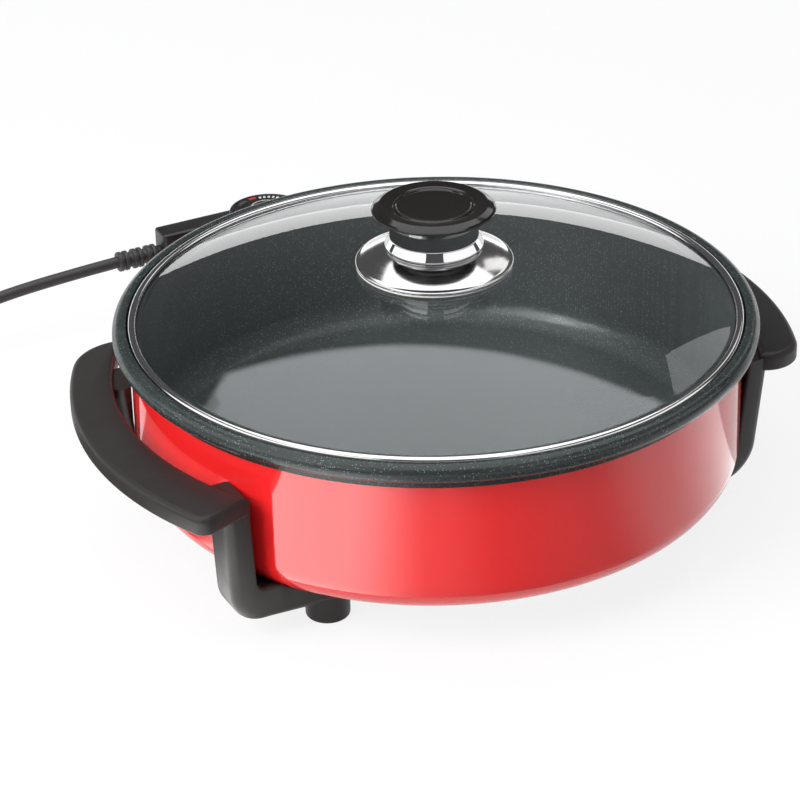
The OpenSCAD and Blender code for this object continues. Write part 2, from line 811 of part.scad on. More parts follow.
module lower_case() {
    color([0.12, 0.12, 0.12]) difference() {
        union() {
            difference() {
                lower_form(0);
                lower_form(case_t);
            }
            for (p = posts) translate([p.x, p.y, case_z + 1]) cylinder(r = post_r, h = seam_z - case_z - 1);
        }
        translate([-neck_x + case_t, neck_y - 1, element_z - block_z + 1.4])
            cube([2 * (neck_x - case_t), case_t + 2, 2 * block_z - 2.8]);
        for (p = posts) translate([p.x, p.y, case_z]) {
            translate([0, 0, -1]) cylinder(r = post_hole + 0.25, h = seam_z);
            translate([0, 0, -1]) cylinder(r = 2.6, h = 5);
        }
    }
}

module case_screws() {
    color("silver") for (p = posts) translate([p.x, p.y, case_z]) {
        translate([0, 0, 1.5]) cylinder(r = 2.4, h = 2.5);
        translate([0, 0, 4 - eps]) cylinder(r = post_hole, h = seam_z + 7 - case_z - 4);
    }
}

// Heat-proof block that plugs into the shroud and carries the contacts and the probe
module contact_block() {
    tongue_x = neck_x - case_t - fit_gap;
    tongue_z = block_z - 1.5;
    color([0.2, 0.13, 0.1]) difference() {
        union() {
            translate([-block_x, block_y, element_z - block_z])
                cube([2 * block_x, neck_y - fit_gap - block_y, 2 * block_z]);
            translate([-tongue_x, neck_y - 1, element_z - tongue_z])
                cube([2 * tongue_x, block_end - neck_y + 1, 2 * tongue_z]);
        }
        for (s = [-1, 1]) rod_y(s * pin_x, block_y - 1, block_end + 1, element_z, pin_d + 3 + 2 * fit_gap);
        rod_y(0, block_y - 1, block_end + 1, element_z, probe_d + 2 * fit_gap);
    }
}

module contact_tubes() {
    color("goldenrod") for (s = [-1, 1]) difference() {
        rod_y(s * pin_x, block_y + 1, block_end + 2, element_z, pin_d + 3);
        rod_y(s * pin_x, block_y, block_end + 3, element_z, pin_d + 2 * run_gap);
    }
}

// Brass strips from the contact tubes back to the thermostat and the cord
module bus_bars() {
    color("goldenrod") for (s = [-1, 1]) {
        translate([s * pin_x - 3.5, block_end + 2, element_z - 4]) cube([7, 1, 11.5]);
        translate([s * pin_x - 3.5, block_end + 2, element_z + 6.5]) cube([7, s > 0 ? 16 : 36, 1]);
    }
}

module probe_tube() {
    color("silver") {
        rod_y(0, probe_tip, block_end + 14, element_z, probe_d);
        translate([0, probe_tip, element_z]) sphere(d = probe_d);
    }
}

// Pressed bracket on the housing's floor under the dial
module thermostat_bracket() {
    floor_z = case_z + case_t;
    color("silver") translate([dial_x, dial_y, floor_z]) {
        translate([-13, -8, 0]) cube([26, 16, 1.2]);
        for (s = [-1, 1]) translate([s * 12.4 - 0.6, -8, 0]) cube([1.2, 16, seam_z - floor_z - 6]);
    }
}

// Two spring leaves with contact buttons, between the bracket's sides
module contact_leaves() {
    top_z = seam_z - 9;
    color("goldenrod") translate([dial_x, dial_y, top_z]) {
        for (i = [0, 1]) translate([-11.7, -3, -4 * i - 0.6]) cube([23.4, 6, 0.6]);
        translate([6, 0, -1.9]) cylinder(d = 4, h = 1.4);
        translate([6, 0, -4.01]) cylinder(d = 4, h = 1.4);
    }
}

module spindle_bush() {
    color("goldenrod") translate([dial_x, dial_y, case_top - case_t - 4]) difference() {
        union() {
            cylinder(d = bush_d, h = case_t + 4);
            cylinder(d = bush_d + 4, h = 4 - fit_gap);
        }
        translate([0, 0, -1]) cylinder(d = spindle_d + 2 * run_gap, h = case_top);
    }
}

module pilot_lens() {
    color("red") translate([0, block_end + 4, neck_top - case_t]) {
        translate([0, 0, -1]) cylinder(d = 8, h = 1 - fit_gap);
        intersection() {
            translate([0, 0, -1]) cylinder(d = 6, h = case_t + 4);
            translate([0, 0, case_t - 7]) sphere(r = 8);
        }
    }
}

module pilot_lamp() {
    color("orange") translate([0, block_end + 4, neck_top - case_t - 1 - 9]) {
        cylinder(d = 4.5, h = 6.6);
        translate([0, 0, 6.6]) sphere(d = 4.5);
    }
}

// Saddle in the arm that grips the cord
module cord_clamp() {
    color([0.2, 0.2, 0.2]) difference() {
        translate([arm_end + 8, arm_y + case_t + fit_gap, cord_z - 6])
            cube([8, arm_w - 2 * case_t - 2 * fit_gap, 12]);
        translate([arm_end, arm_mid, cord_z]) rotate([0, 90, 0]) cylinder(d = 4, h = 20);
    }
}

// Dial on its spindle
module dial() {
    r = dial_d / 2;
    translate([dial_x, dial_y, case_top + dial_gap]) color([0.1, 0.1, 0.1]) difference() {
        rotate_extrude() difference() {
            union() {
                disc_2d(r, dial_h, 1.2);
                translate([0, dial_h - 1]) disc_2d(r * 0.46, 2.6, 0.8);
            }
            square([spindle_d / 2, dial_h - 1.5]);
        }
        for (i = [0 : flutes - 1]) rotate(360 * i / flutes)
            translate([r + 0.5, 0, -1]) cylinder(r = 1, h = dial_h - 1, $fn = 24);
    }
}

module dial_spindle() {
    low = seam_z - 8.6;
    high = case_top + dial_gap + dial_h - 1.6;
    color("silver") translate([dial_x, dial_y, low]) cylinder(d = spindle_d, h = high - low);
}

// Cord set

module strain_relief() {
    rib_pitch = (relief_l - 1) / relief_ribs;
    color([0.1, 0.1, 0.1]) translate([arm_end, arm_mid, cord_z]) rotate([0, -90, 0]) {
        translate([0, 0, fit_gap]) cylinder(d1 = cord_d + 3, d2 = cord_d + 1, h = relief_l - fit_gap);
        for (i = [1 : relief_ribs]) translate([0, 0, rib_pitch * (i - 0.68) + 0.6])
            cylinder(d = cord_d + 5 - 0.1 * i, h = rib_pitch * 0.68);
        translate([0, 0, -case_t - 2]) cylinder(d = cord_d + 1, h = case_t + 2 + 1);
        translate([0, 0, -case_t - 2]) cylinder(d = cord_d + 2.6, h = 2 - fit_gap);
    }
}

module cord_run() {
    color([0.1, 0.1, 0.1]) swept_tube(run_points, cord_d, 10);
}

module cord_coil() {
    color([0.1, 0.1, 0.1]) swept_tube(coil_points, cord_d, 6);
}

// Band round the coil's turns on the side towards the object's front
module cord_tie() {
    r_in = turn_r(coil_turns / 2 - 0.375) - cord_d / 2 - 1.2;
    r_out = turn_r(0.5) + cord_d / 2 + 0.5;
    high = coil_low + layer_step + cord_d / 2 + 0.3;
    color("dimgray") translate([coil_x - 4, coil_y, 0]) rotate([90, 0, 90]) linear_extrude(8) difference() {
        translate([-r_out - tie_t, 0]) square([r_out - r_in + 2 * tie_t, high + tie_t]);
        translate([-r_out, tie_t]) square([r_out - r_in, high - tie_t]);
    }
}

// Mains plug with a tapered grip, lying flat
module plug_body() {
    half = coil_end.z - 0.2;
    nose = plug_l * 0.4;
    color([0.1, 0.1, 0.1]) translate([coil_end.x, plug_y, coil_end.z]) intersection() {
        linear_extrude(2 * half, center = true) polygon([
            [-7, 0], [7, 0], [plug_w * 0.36, -plug_l + nose + 6], [plug_w / 2, -plug_l + nose],
            [plug_w / 2, -plug_l], [-plug_w / 2, -plug_l], [-plug_w / 2, -plug_l + nose],
            [-plug_w * 0.36, -plug_l + nose + 6]
        ]);
        rotate([90, 0, 90]) linear_extrude(plug_w + 2, center = true) polygon([
            [0, -6.5], [0, 6.5], [-plug_l + nose, half], [-plug_l, half],
            [-plug_l, -half], [-plug_l + nose, -half]
        ]);
    }
}

module plug_pins() {
    color("gainsboro") for (p = [[-9.5, 0], [0, 3], [9.5, 0]])
        rod_y(coil_end.x + p.x, plug_y - plug_l - 19, plug_y - plug_l, coil_end.z + p.y, 4);
}

pan();
heat_spreader();
heating_element();
element_insulators();
terminal_pins();
terminal_shroud();
shroud_screws();
probe_guide();
left_handle();
right_handle();
handle_studs();
handle_washers();
handle_nuts();
lid_glass();
lid_band();
plate_gasket();
knob_plate();
knob_collar();
knob_grip();
knob_seal();
knob_washer();
knob_screw();
lower_case();
upper_case();
contact_block();
contact_tubes();
bus_bars();
probe_tube();
thermostat_bracket();
contact_leaves();
spindle_bush();
pilot_lens();
pilot_lamp();
cord_clamp();
case_screws();
dial();
dial_spindle();
strain_relief();
cord_run();
cord_coil();
cord_tie();
plug_body();
plug_pins();
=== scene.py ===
"""Round electric skillet with a loose glass lid and a plug-in control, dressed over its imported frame."""
import logging
import math
from dataclasses import dataclass, field
from enum import Enum
from typing import Any, Callable, Iterable, Mapping, Optional, Sequence

import bmesh
import bpy
from mathutils import Matrix, Vector


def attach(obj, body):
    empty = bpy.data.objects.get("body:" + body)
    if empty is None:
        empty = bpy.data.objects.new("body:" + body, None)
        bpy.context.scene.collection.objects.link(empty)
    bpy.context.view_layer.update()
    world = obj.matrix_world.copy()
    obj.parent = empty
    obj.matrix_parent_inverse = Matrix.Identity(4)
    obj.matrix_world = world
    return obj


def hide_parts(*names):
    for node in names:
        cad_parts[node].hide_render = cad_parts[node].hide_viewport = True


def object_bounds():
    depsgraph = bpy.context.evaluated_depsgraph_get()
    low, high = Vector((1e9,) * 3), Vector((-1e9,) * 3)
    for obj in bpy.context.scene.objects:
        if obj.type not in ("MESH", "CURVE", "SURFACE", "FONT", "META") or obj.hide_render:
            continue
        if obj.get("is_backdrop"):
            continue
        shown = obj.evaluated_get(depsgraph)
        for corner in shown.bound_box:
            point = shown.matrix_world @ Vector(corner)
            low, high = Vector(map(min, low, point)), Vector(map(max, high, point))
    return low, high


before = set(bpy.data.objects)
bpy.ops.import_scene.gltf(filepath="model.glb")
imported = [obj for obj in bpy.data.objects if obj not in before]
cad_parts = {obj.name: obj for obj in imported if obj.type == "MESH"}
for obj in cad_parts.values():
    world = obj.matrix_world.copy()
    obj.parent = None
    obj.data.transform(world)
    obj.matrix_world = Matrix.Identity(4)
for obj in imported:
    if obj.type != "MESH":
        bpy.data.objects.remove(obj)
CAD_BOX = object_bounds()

LOG = logging.getLogger("skillet")
MM = 0.001
# Edges that turn by more degrees than this stay sharp, where nothing else is said.
SHARP = 35.0

Pair = tuple[float, float]
Triple = tuple[float, float, float]
Tree = bpy.types.NodeTree
Socket = bpy.types.NodeSocket
Item = bpy.types.Object


class Body(Enum):
    """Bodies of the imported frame."""

    BASE = "base"
    LID = "lid"
    CONTROL = "control"
    DIAL = "dial"


# Materials


def linear(code: str) -> tuple[float, float, float, float]:
    """Turn an sRGB hex colour into linear RGBA.

    Args:
        code: Colour such as "#d90d18".

    Returns:
        Linear red, green, blue and an alpha of 1.
    """
    parts = [int(code[i : i + 2], 16) / 255 for i in (1, 3, 5)]
    lin = [c / 12.92 if c <= 0.04045 else ((c + 0.055) / 1.055) ** 2.4 for c in parts]
    return (lin[0], lin[1], lin[2], 1.0)


def add(
    tree: Tree,
    kind: str,
    settings: Optional[Mapping[str, Any]] = None,
    values: Optional[Mapping[Any, Any]] = None,
    links: Optional[Mapping[Any, Socket]] = None,
) -> bpy.types.Node:
    """Add one node with its settings, constant inputs and links.

    Args:
        tree: Node tree that gets the node.
        kind: Blender's name of the node type.
        settings: Properties of the node itself.
        values: Constant values by input name or number.
        links: Output sockets by input name or number.

    Returns:
        The new node.
    """
    node = tree.nodes.new(kind)
    for key, value in (settings or {}).items():
        setattr(node, key, value)
    for key, value in (values or {}).items():
        node.inputs[key].default_value = value
    for key, source in (links or {}).items():
        tree.links.new(source, node.inputs[key])
    return node


def empty_tree(owner: Any) -> Tree:
    """Node tree of a new material or world, without nodes.

    Args:
        owner: The material or world.

    Returns:
        The empty tree.
    """
    owner.use_nodes = True
    owner.node_tree.nodes.clear()
    return owner.node_tree


def put(name: str, data: Any) -> Item:
    """Make an object of a mesh, camera or lamp, and put it in the scene.

    Args:
        name: Its name.
        data: The mesh, camera or lamp.

    Returns:
        The new object.
    """
    made = bpy.data.objects.new(name, data)
    bpy.context.scene.collection.objects.link(made)
    return made


def per_metre(size_mm: float) -> float:
    """Pattern scale whose features are about size_mm across."""
    return 1.0 / (size_mm * MM)


def noise(tree: Tree, place: Socket, size_mm: float, detail: float) -> Socket:
    """Soft noise around 0.5, with features about size_mm across."""
    values = {"Scale": per_metre(size_mm), "Detail": detail}
    return add(tree, "ShaderNodeTexNoise", values=values, links={"Vector": place}).outputs[0]


def combine(tree: Tree, operation: str, a: Socket, b: Socket) -> Socket:
    """Number that an operation makes of two others."""
    return add(tree, "ShaderNodeMath", {"operation": operation}, links={0: a, 1: b}).outputs[0]


def remap(tree: Tree, value: Socket, start: Pair, end: Pair, easing: str = "LINEAR") -> Socket:
    """Move a value from one range to another.

    Args:
        tree: Node tree that gets the node.
        value: Value that is moved.
        start: Range that it comes from.
        end: Range that it goes to.
        easing: Blender's name of the way from one end to the other.

    Returns:
        The moved value.
    """
    ends = dict(zip(("From Min", "From Max", "To Min", "To Max"), (*start, *end)))
    node = add(tree, "ShaderNodeMapRange", {"interpolation_type": easing}, ends, {"Value": value})
    return node.outputs[0]


def blend(tree: Tree, share: Socket, values: Mapping[int, Any], links: Mapping[int, Socket]) -> Socket:
    """Colour between input 6 and input 7, which are constants or links."""
    return add(tree, "ShaderNodeMix", {"data_type": "RGBA"}, values, {0: share, **links}).outputs[2]


@dataclass(frozen=True)
class Finish:
    """Moulded, cast or plated surface: tone that drifts in patches, and a fine grain."""

    name: str
    colour: str
    roughness: float
    metallic: float = 0.0
    ior: float = 1.5
    tone: float = 0.15
    patch_mm: float = 30.0
    spread: float = 0.06
    grain_mm: float = 0.8
    grain_depth_mm: float = 0.01

    def material(self) -> bpy.types.Material:
        """Give the material, made on first use.

        Returns:
            The Blender material of this finish.
        """
        found = bpy.data.materials.get(self.name)
        if found:
            return found
        made = bpy.data.materials.new(self.name)
        made.diffuse_color = linear(self.colour)
        tree = empty_tree(made)
        place = add(tree, "ShaderNodeTexCoord").outputs["Object"]
        add(tree, "ShaderNodeOutputMaterial", links={"Surface": self.surface(tree, place)})
        return made

    def surface(self, tree: Tree, place: Socket) -> Socket:
        """Build the shader.

        Args:
            tree: Node tree of the material.
            place: Object coordinates, in metres.

        Returns:
            Output socket of the finished shader.
        """
        links = {
            "Base Color": self.colours(tree, place),
            "Roughness": self.gloss(tree, place),
            "Normal": self.relief(tree, place),
        }
        values = {"Metallic": self.metallic}
        if self.metallic == 0:
            values["IOR"] = self.ior
        return add(tree, "ShaderNodeBsdfPrincipled", values=values, links=links).outputs["BSDF"]

    def colours(self, tree: Tree, place: Socket) -> Socket:
        """Colour that drifts in soft patches between the written one and a darker one.

        Args:
            tree: Node tree of the material.
            place: Object coordinates, in metres.

        Returns:
            The colour.
        """
        base = linear(self.colour)
        dark = tuple(c * (1 - self.tone) for c in base[:3]) + (1.0,)
        patches = noise(tree, place, self.patch_mm, 3.0)
        return blend(tree, patches, {6: base, 7: dark}, {})

    def wear(self, tree: Tree, place: Socket) -> Socket:
        """Unevenness of the gloss."""
        return noise(tree, place, self.patch_mm / 3, 4.0)

    def grain(self, tree: Tree, place: Socket) -> Socket:
        """Height of the fine grain."""
        return noise(tree, place, self.grain_mm, 2.0)

    def gloss(self, tree: Tree, place: Socket) -> Socket:
        """Roughness that varies by spread around its mean."""
        ends = (max(0.0, self.roughness - self.spread), self.roughness + self.spread)
        return remap(tree, self.wear(tree, place), (0.3, 0.7), ends)

    def relief(self, tree: Tree, place: Socket) -> Socket:
        """Bump of the grain.

        Args:
            tree: Node tree of the material.
            place: Object coordinates, in metres.

        Returns:
            The bent normal.
        """
        values = {"Strength": 1.0, "Distance": self.grain_depth_mm * MM}
        links = {"Height": self.grain(tree, place)}
        return add(tree, "ShaderNodeBump", values=values, links=links).outputs[0]


@dataclass(frozen=True)
class FleckedCoating(Finish):
    """Sprayed non-stick coating with pale flecks in a dark ground."""

    fleck: str = "#7b8a88"
    fleck_mm: float = 0.75
    share: float = 0.8
    widest: float = 0.42
    edge: float = 0.12

    def colours(self, tree: Tree, place: Socket) -> Socket:
        """Dark ground with a round fleck in some of the cells.

        Args:
            tree: Node tree of the material.
            place: Object coordinates, in metres.

        Returns:
            The colour.
        """
        values = {"Scale": per_metre(self.fleck_mm), "Randomness": 1.0}
        cells = add(tree, "ShaderNodeTexVoronoi", values=values, links={"Vector": place}).outputs
        chance = add(tree, "ShaderNodeSeparateColor", links={0: cells["Color"]}).outputs[0]
        size = remap(tree, chance, (1 - self.share, 1.0), (0.0, self.widest))
        inside = combine(tree, "SUBTRACT", size, cells["Distance"])
        fleck = remap(tree, inside, (0.0, self.edge), (0.0, 1.0))
        return blend(tree, fleck, {7: linear(self.fleck)}, {6: super().colours(tree, place)})


@dataclass(frozen=True)
class SpunMetal(Finish):
    """Metal turned or polished on a lathe: faint rings around the Z axis."""

    ring_mm: float = 0.5

    def rings(self, tree: Tree, place: Socket) -> Socket:
        """Noise that depends on the distance from the axis and on the height.

        Args:
            tree: Node tree of the material.
            place: Object coordinates, in metres.

        Returns:
            The noise.
        """
        parts = add(tree, "ShaderNodeSeparateXYZ", links={0: place}).outputs
        flat = add(tree, "ShaderNodeCombineXYZ", links={0: parts[0], 1: parts[1]}).outputs[0]
        radius = add(tree, "ShaderNodeVectorMath", {"operation": "LENGTH"}, links={0: flat})
        values = {"Scale": per_metre(self.ring_mm), "Detail": 3.0}
        links = {"W": combine(tree, "ADD", radius.outputs["Value"], parts[2])}
        return add(tree, "ShaderNodeTexNoise", {"noise_dimensions": "1D"}, values, links).outputs[0]

    def wear(self, tree: Tree, place: Socket) -> Socket:
        """Gloss that changes from ring to ring."""
        return self.rings(tree, place)

    def grain(self, tree: Tree, place: Socket) -> Socket:
        """Height of the rings."""
        return self.rings(tree, place)


@dataclass(frozen=True)
class ClearGlass(Finish):
    """Clear glass that lets lamps through to what lies behind it."""

    def surface(self, tree: Tree, place: Socket) -> Socket:
        """Refracting glass, open to shadow rays.

        Args:
            tree: Node tree of the material.
            place: Object coordinates, in metres.

        Returns:
            The shader.
        """
        tint = linear(self.colour)
        values = {"Base Color": tint, "Transmission Weight": 1.0, "IOR": self.ior}
        values["Roughness"] = self.roughness
        links = {"Normal": self.relief(tree, place)}
        glass = add(tree, "ShaderNodeBsdfPrincipled", values=values, links=links).outputs[0]
        open_glass = add(tree, "ShaderNodeBsdfTransparent", values={"Color": tint}).outputs[0]
        ray = add(tree, "ShaderNodeLightPath").outputs["Is Shadow Ray"]
        return add(tree, "ShaderNodeMixShader", links={0: ray, 1: glass, 2: open_glass}).outputs[0]


@dataclass(frozen=True)
class GlowingPaper(Finish):
    """Paper lit from below as well, so that it looks white and shadows on it stay faint."""

    glow: float = 0.85

    def surface(self, tree: Tree, place: Socket) -> Socket:
        """Paper with a share of plain white, for rays that the eye, gloss and glass see.

        Args:
            tree: Node tree of the material.
            place: Object coordinates, in metres.

        Returns:
            The shader.
        """
        ray = add(tree, "ShaderNodeLightPath").outputs
        seen = combine(tree, "MAXIMUM", ray["Is Camera Ray"], ray["Is Glossy Ray"])
        seen = combine(tree, "MAXIMUM", seen, ray["Is Transmission Ray"])
        share = add(tree, "ShaderNodeMath", {"operation": "MULTIPLY"}, {1: self.glow}, {0: seen}).outputs[0]
        white = add(tree, "ShaderNodeEmission", values={"Strength": 1.0}).outputs[0]
        links = {0: share, 1: super().surface(tree, place), 2: white}
        return add(tree, "ShaderNodeMixShader", links=links).outputs[0]


# Vitreous enamel, fired on: deep colour under a hard wet gloss, with a slow ripple.
ENAMEL = Finish(
    "red_vitreous_enamel", "#da2223", 0.07, ior=1.68, tone=0.10, patch_mm=60, spread=0.02,
    grain_mm=9.0, grain_depth_mm=0.012,
)
# PTFE coating, sprayed and baked: charcoal with pale flecks and a soft satin sheen. The flecks are
# drawn a little larger than the real ones so that they show.
NONSTICK = FleckedCoating(
    "flecked_nonstick_coating", "#383a3a", 0.34, tone=0.25, patch_mm=45,
    grain_mm=1.2, grain_depth_mm=0.006,
)
# The same coating on the rolled rim, drawn smoother, with a darker ground and fewer, duller flecks: painted
# shade that holds down the light the rim catches.
RIM_COAT_PAINTED_DARKER = FleckedCoating(
    "rim_coating_with_painted_shade", "#272d2c", 0.26, ior=1.42, tone=0.25, patch_mm=45,
    grain_mm=1.2, grain_depth_mm=0.006, fleck="#687875", share=0.6,
)
# Bare pressed aluminium of the pan's underside: pale grey with rolling marks.
ALUMINIUM = Finish(
    "bare_aluminium", "#b9babb", 0.42, metallic=1.0, tone=0.18, patch_mm=18, grain_depth_mm=0.02,
)
# Die-cast aluminium: duller and coarser than rolled sheet.
CAST = Finish(
    "die_cast_aluminium", "#a3a5a6", 0.55, metallic=1.0, tone=0.25, patch_mm=9,
    grain_mm=1.0, grain_depth_mm=0.05,
)
# Steel sheath of the heating element, dark from heat.
SHEATH = Finish(
    "heated_steel_sheath", "#5d5754", 0.5, metallic=1.0, tone=0.45, patch_mm=22, grain_depth_mm=0.02,
)
# Steatite ceramic: cream and faintly glossy.
CERAMIC = Finish("steatite_ceramic", "#e4dcc6", 0.4, tone=0.12, patch_mm=5, grain_mm=0.5)
# Nickel plate over brass: warm bright metal.
NICKEL = Finish(
    "nickel_plate", "#cfcabf", 0.18, metallic=1.0, tone=0.10, patch_mm=6,
    grain_mm=0.4, grain_depth_mm=0.003,
)
# Zinc-plated steel: cool grey with blotches.
ZINC = Finish("zinc_plated_steel", "#b4b7bb", 0.34, metallic=1.0, tone=0.25, patch_mm=4, grain_mm=0.4)
# Rolled brass strip.
BRASS = Finish("rolled_brass", "#c9a552", 0.28, metallic=1.0, tone=0.2, patch_mm=8, grain_mm=0.4)
# Black phenolic, compression moulded: near mirror gloss.
PHENOLIC = Finish(
    "black_phenolic_moulding", "#1a1816", 0.10, tone=0.2, patch_mm=20, spread=0.03,
    grain_mm=1.5, grain_depth_mm=0.004,
)
# Glass-filled polyamide of the handles: black with a satin spark-eroded grain.
HANDLE = Finish(
    "satin_black_polyamide", "#262322", 0.42, ior=1.36, tone=0.2, patch_mm=40, spread=0.05,
    grain_mm=0.9, grain_depth_mm=0.018,
)
# ABS of the control's housing: black, a little smoother than the handles.
HOUSING = Finish(
    "black_abs_housing", "#1b1919", 0.32, ior=1.54, tone=0.2, patch_mm=25, spread=0.05,
    grain_depth_mm=0.012,
)
# The same plastic in the dial, darker.
DIAL = Finish("black_abs_dial", "#131313", 0.30, ior=1.54, tone=0.2, patch_mm=12)
# Pad-printed inks on the dial.
INK_WHITE = Finish("white_pad_print", "#c9c6c0", 0.45, patch_mm=1.5, grain_mm=0.3)
INK_RED = Finish("red_pad_print", "#b01c22", 0.4, tone=0.2, patch_mm=2, grain_mm=0.3)
INK_GREY = Finish("grey_pad_print", "#4a4845", 0.45, tone=0.2, patch_mm=2, grain_mm=0.3)
# Soft PVC of the cord and its relief: black, dull, slightly dusty.
PVC = Finish(
    "soft_black_pvc", "#2a2a2b", 0.46, ior=1.53, tone=0.25, patch_mm=15, grain_mm=1.2, grain_depth_mm=0.02,
)
# Nylon of the cable tie: black and faintly glossy.
TIE = Finish("black_polyamide_tie", "#1d1d1e", 0.4, tone=0.2, patch_mm=6, grain_mm=0.5)
# Polished stainless steel, spun on a lathe: bright, with faint rings.
STAINLESS = SpunMetal(
    "polished_stainless", "#d4d3d2", 0.13, metallic=1.0, tone=0.06, patch_mm=25, spread=0.025,
    grain_depth_mm=0.0012, ring_mm=0.7,
)
# Bright chrome plate: mirror with a cool cast.
CHROME = SpunMetal(
    "bright_chrome_plate", "#dcdcdd", 0.03, metallic=1.0, tone=0.05, patch_mm=20, spread=0.015,
    grain_depth_mm=0.0008, ring_mm=1.0,
)
# Clear silicone rubber.
SILICONE = Finish("clear_silicone", "#c9c8c4", 0.5, ior=1.41, tone=0.1, patch_mm=5, grain_mm=0.5)
# Red polycarbonate lens.
LENS = Finish(
    "red_polycarbonate_lens", "#b3120f", 0.12, ior=1.58, tone=0.2, patch_mm=3,
    grain_mm=0.6, grain_depth_mm=0.003,
)
# Toughened soda-lime glass: clear, with the slow ripple of pressed glass.
GLASS = ClearGlass("toughened_glass", "#f2f6f6", 0.0, grain_mm=60.0, grain_depth_mm=0.02)
# Neon lamp's glass: clear, warm.
LAMP_GLASS = ClearGlass("lamp_glass", "#f3c9a0", 0.02, grain_mm=2.0, grain_depth_mm=0.005)


# Shapes


def polar(radius: float, degrees: float) -> Pair:
    """Point at a radius and an angle."""
    a = math.radians(degrees)
    return (radius * math.cos(a), radius * math.sin(a))


def angle_of(way: Vector) -> float:
    """Angle of a flat vector, in degrees."""
    return math.degrees(math.atan2(way.y, way.x))


def side_angle(a: float, b: float, c: float) -> float:
    """Angle of a triangle between sides a and b, across from side c, in degrees."""
    return math.degrees(math.acos((a * a + b * b - c * c) / (2 * a * b)))


def arc(centre: Pair, radius: float, start: float, end: float, steps: int) -> list[Pair]:
    """Points along an arc.

    Args:
        centre: Middle of the arc.
        radius: Its radius.
        start: First angle in degrees.
        end: Last angle in degrees.
        steps: Number of spans.

    Returns:
        steps + 1 points.
    """
    angles = [start + (end - start) * i / steps for i in range(steps + 1)]
    return [(centre[0] + p[0], centre[1] + p[1]) for p in (polar(radius, a) for a in angles)]


def rounded(corners: Sequence[Triple], closed: bool = False, steps: int = 6) -> list[Pair]:
    """Round the corners of a line of points.

    Args:
        corners: x, y and corner radius of each point.
        closed: Whether the last point joins the first.
        steps: Spans in each rounded corner.

    Returns:
        The points with an arc in place of each corner.
    """
    out: list[Pair] = []
    for i, (x, y, r) in enumerate(corners):
        if r <= 0 or (not closed and i in (0, len(corners) - 1)):
            out.append((x, y))
            continue
        here = Vector((x, y))
        back = Vector(corners[i - 1][:2]) - here
        on = Vector(corners[(i + 1) % len(corners)][:2]) - here
        half = back.angle(on) / 2
        reach = min(r / math.tan(half), 0.49 * back.length, 0.49 * on.length)
        first, last = here + back.normalized() * reach, here + on.normalized() * reach
        for k in range(steps + 1):
            t = k / steps
            a, b, c = (1 - t) ** 2, 2 * t * (1 - t) * math.sin(half), t * t
            p = (first * a + here * b + last * c) / (a + b + c)
            out.append((p.x, p.y))
    return out


def smooth_path(points: Sequence[Triple], parts: int) -> list[Vector]:
    """Pass a smooth curve through points.

    Args:
        points: Points that the curve goes through.
        parts: Spans between two points.

    Returns:
        The finer points.
    """
    row = [Vector(p) for p in points]
    out: list[Vector] = []
    for i in range(len(row) - 1):
        before, a, b, after = row[max(i - 1, 0)], row[i], row[i + 1], row[min(i + 2, len(row) - 1)]
        for k in range(parts):
            t = k / parts
            out.append(
                0.5 * (
                    2 * a + (b - before) * t + (2 * before - 5 * a + 4 * b - after) * t * t
                    + (3 * a - before - 3 * b + after) * t * t * t
                )
            )
    return out + [row[-1]]


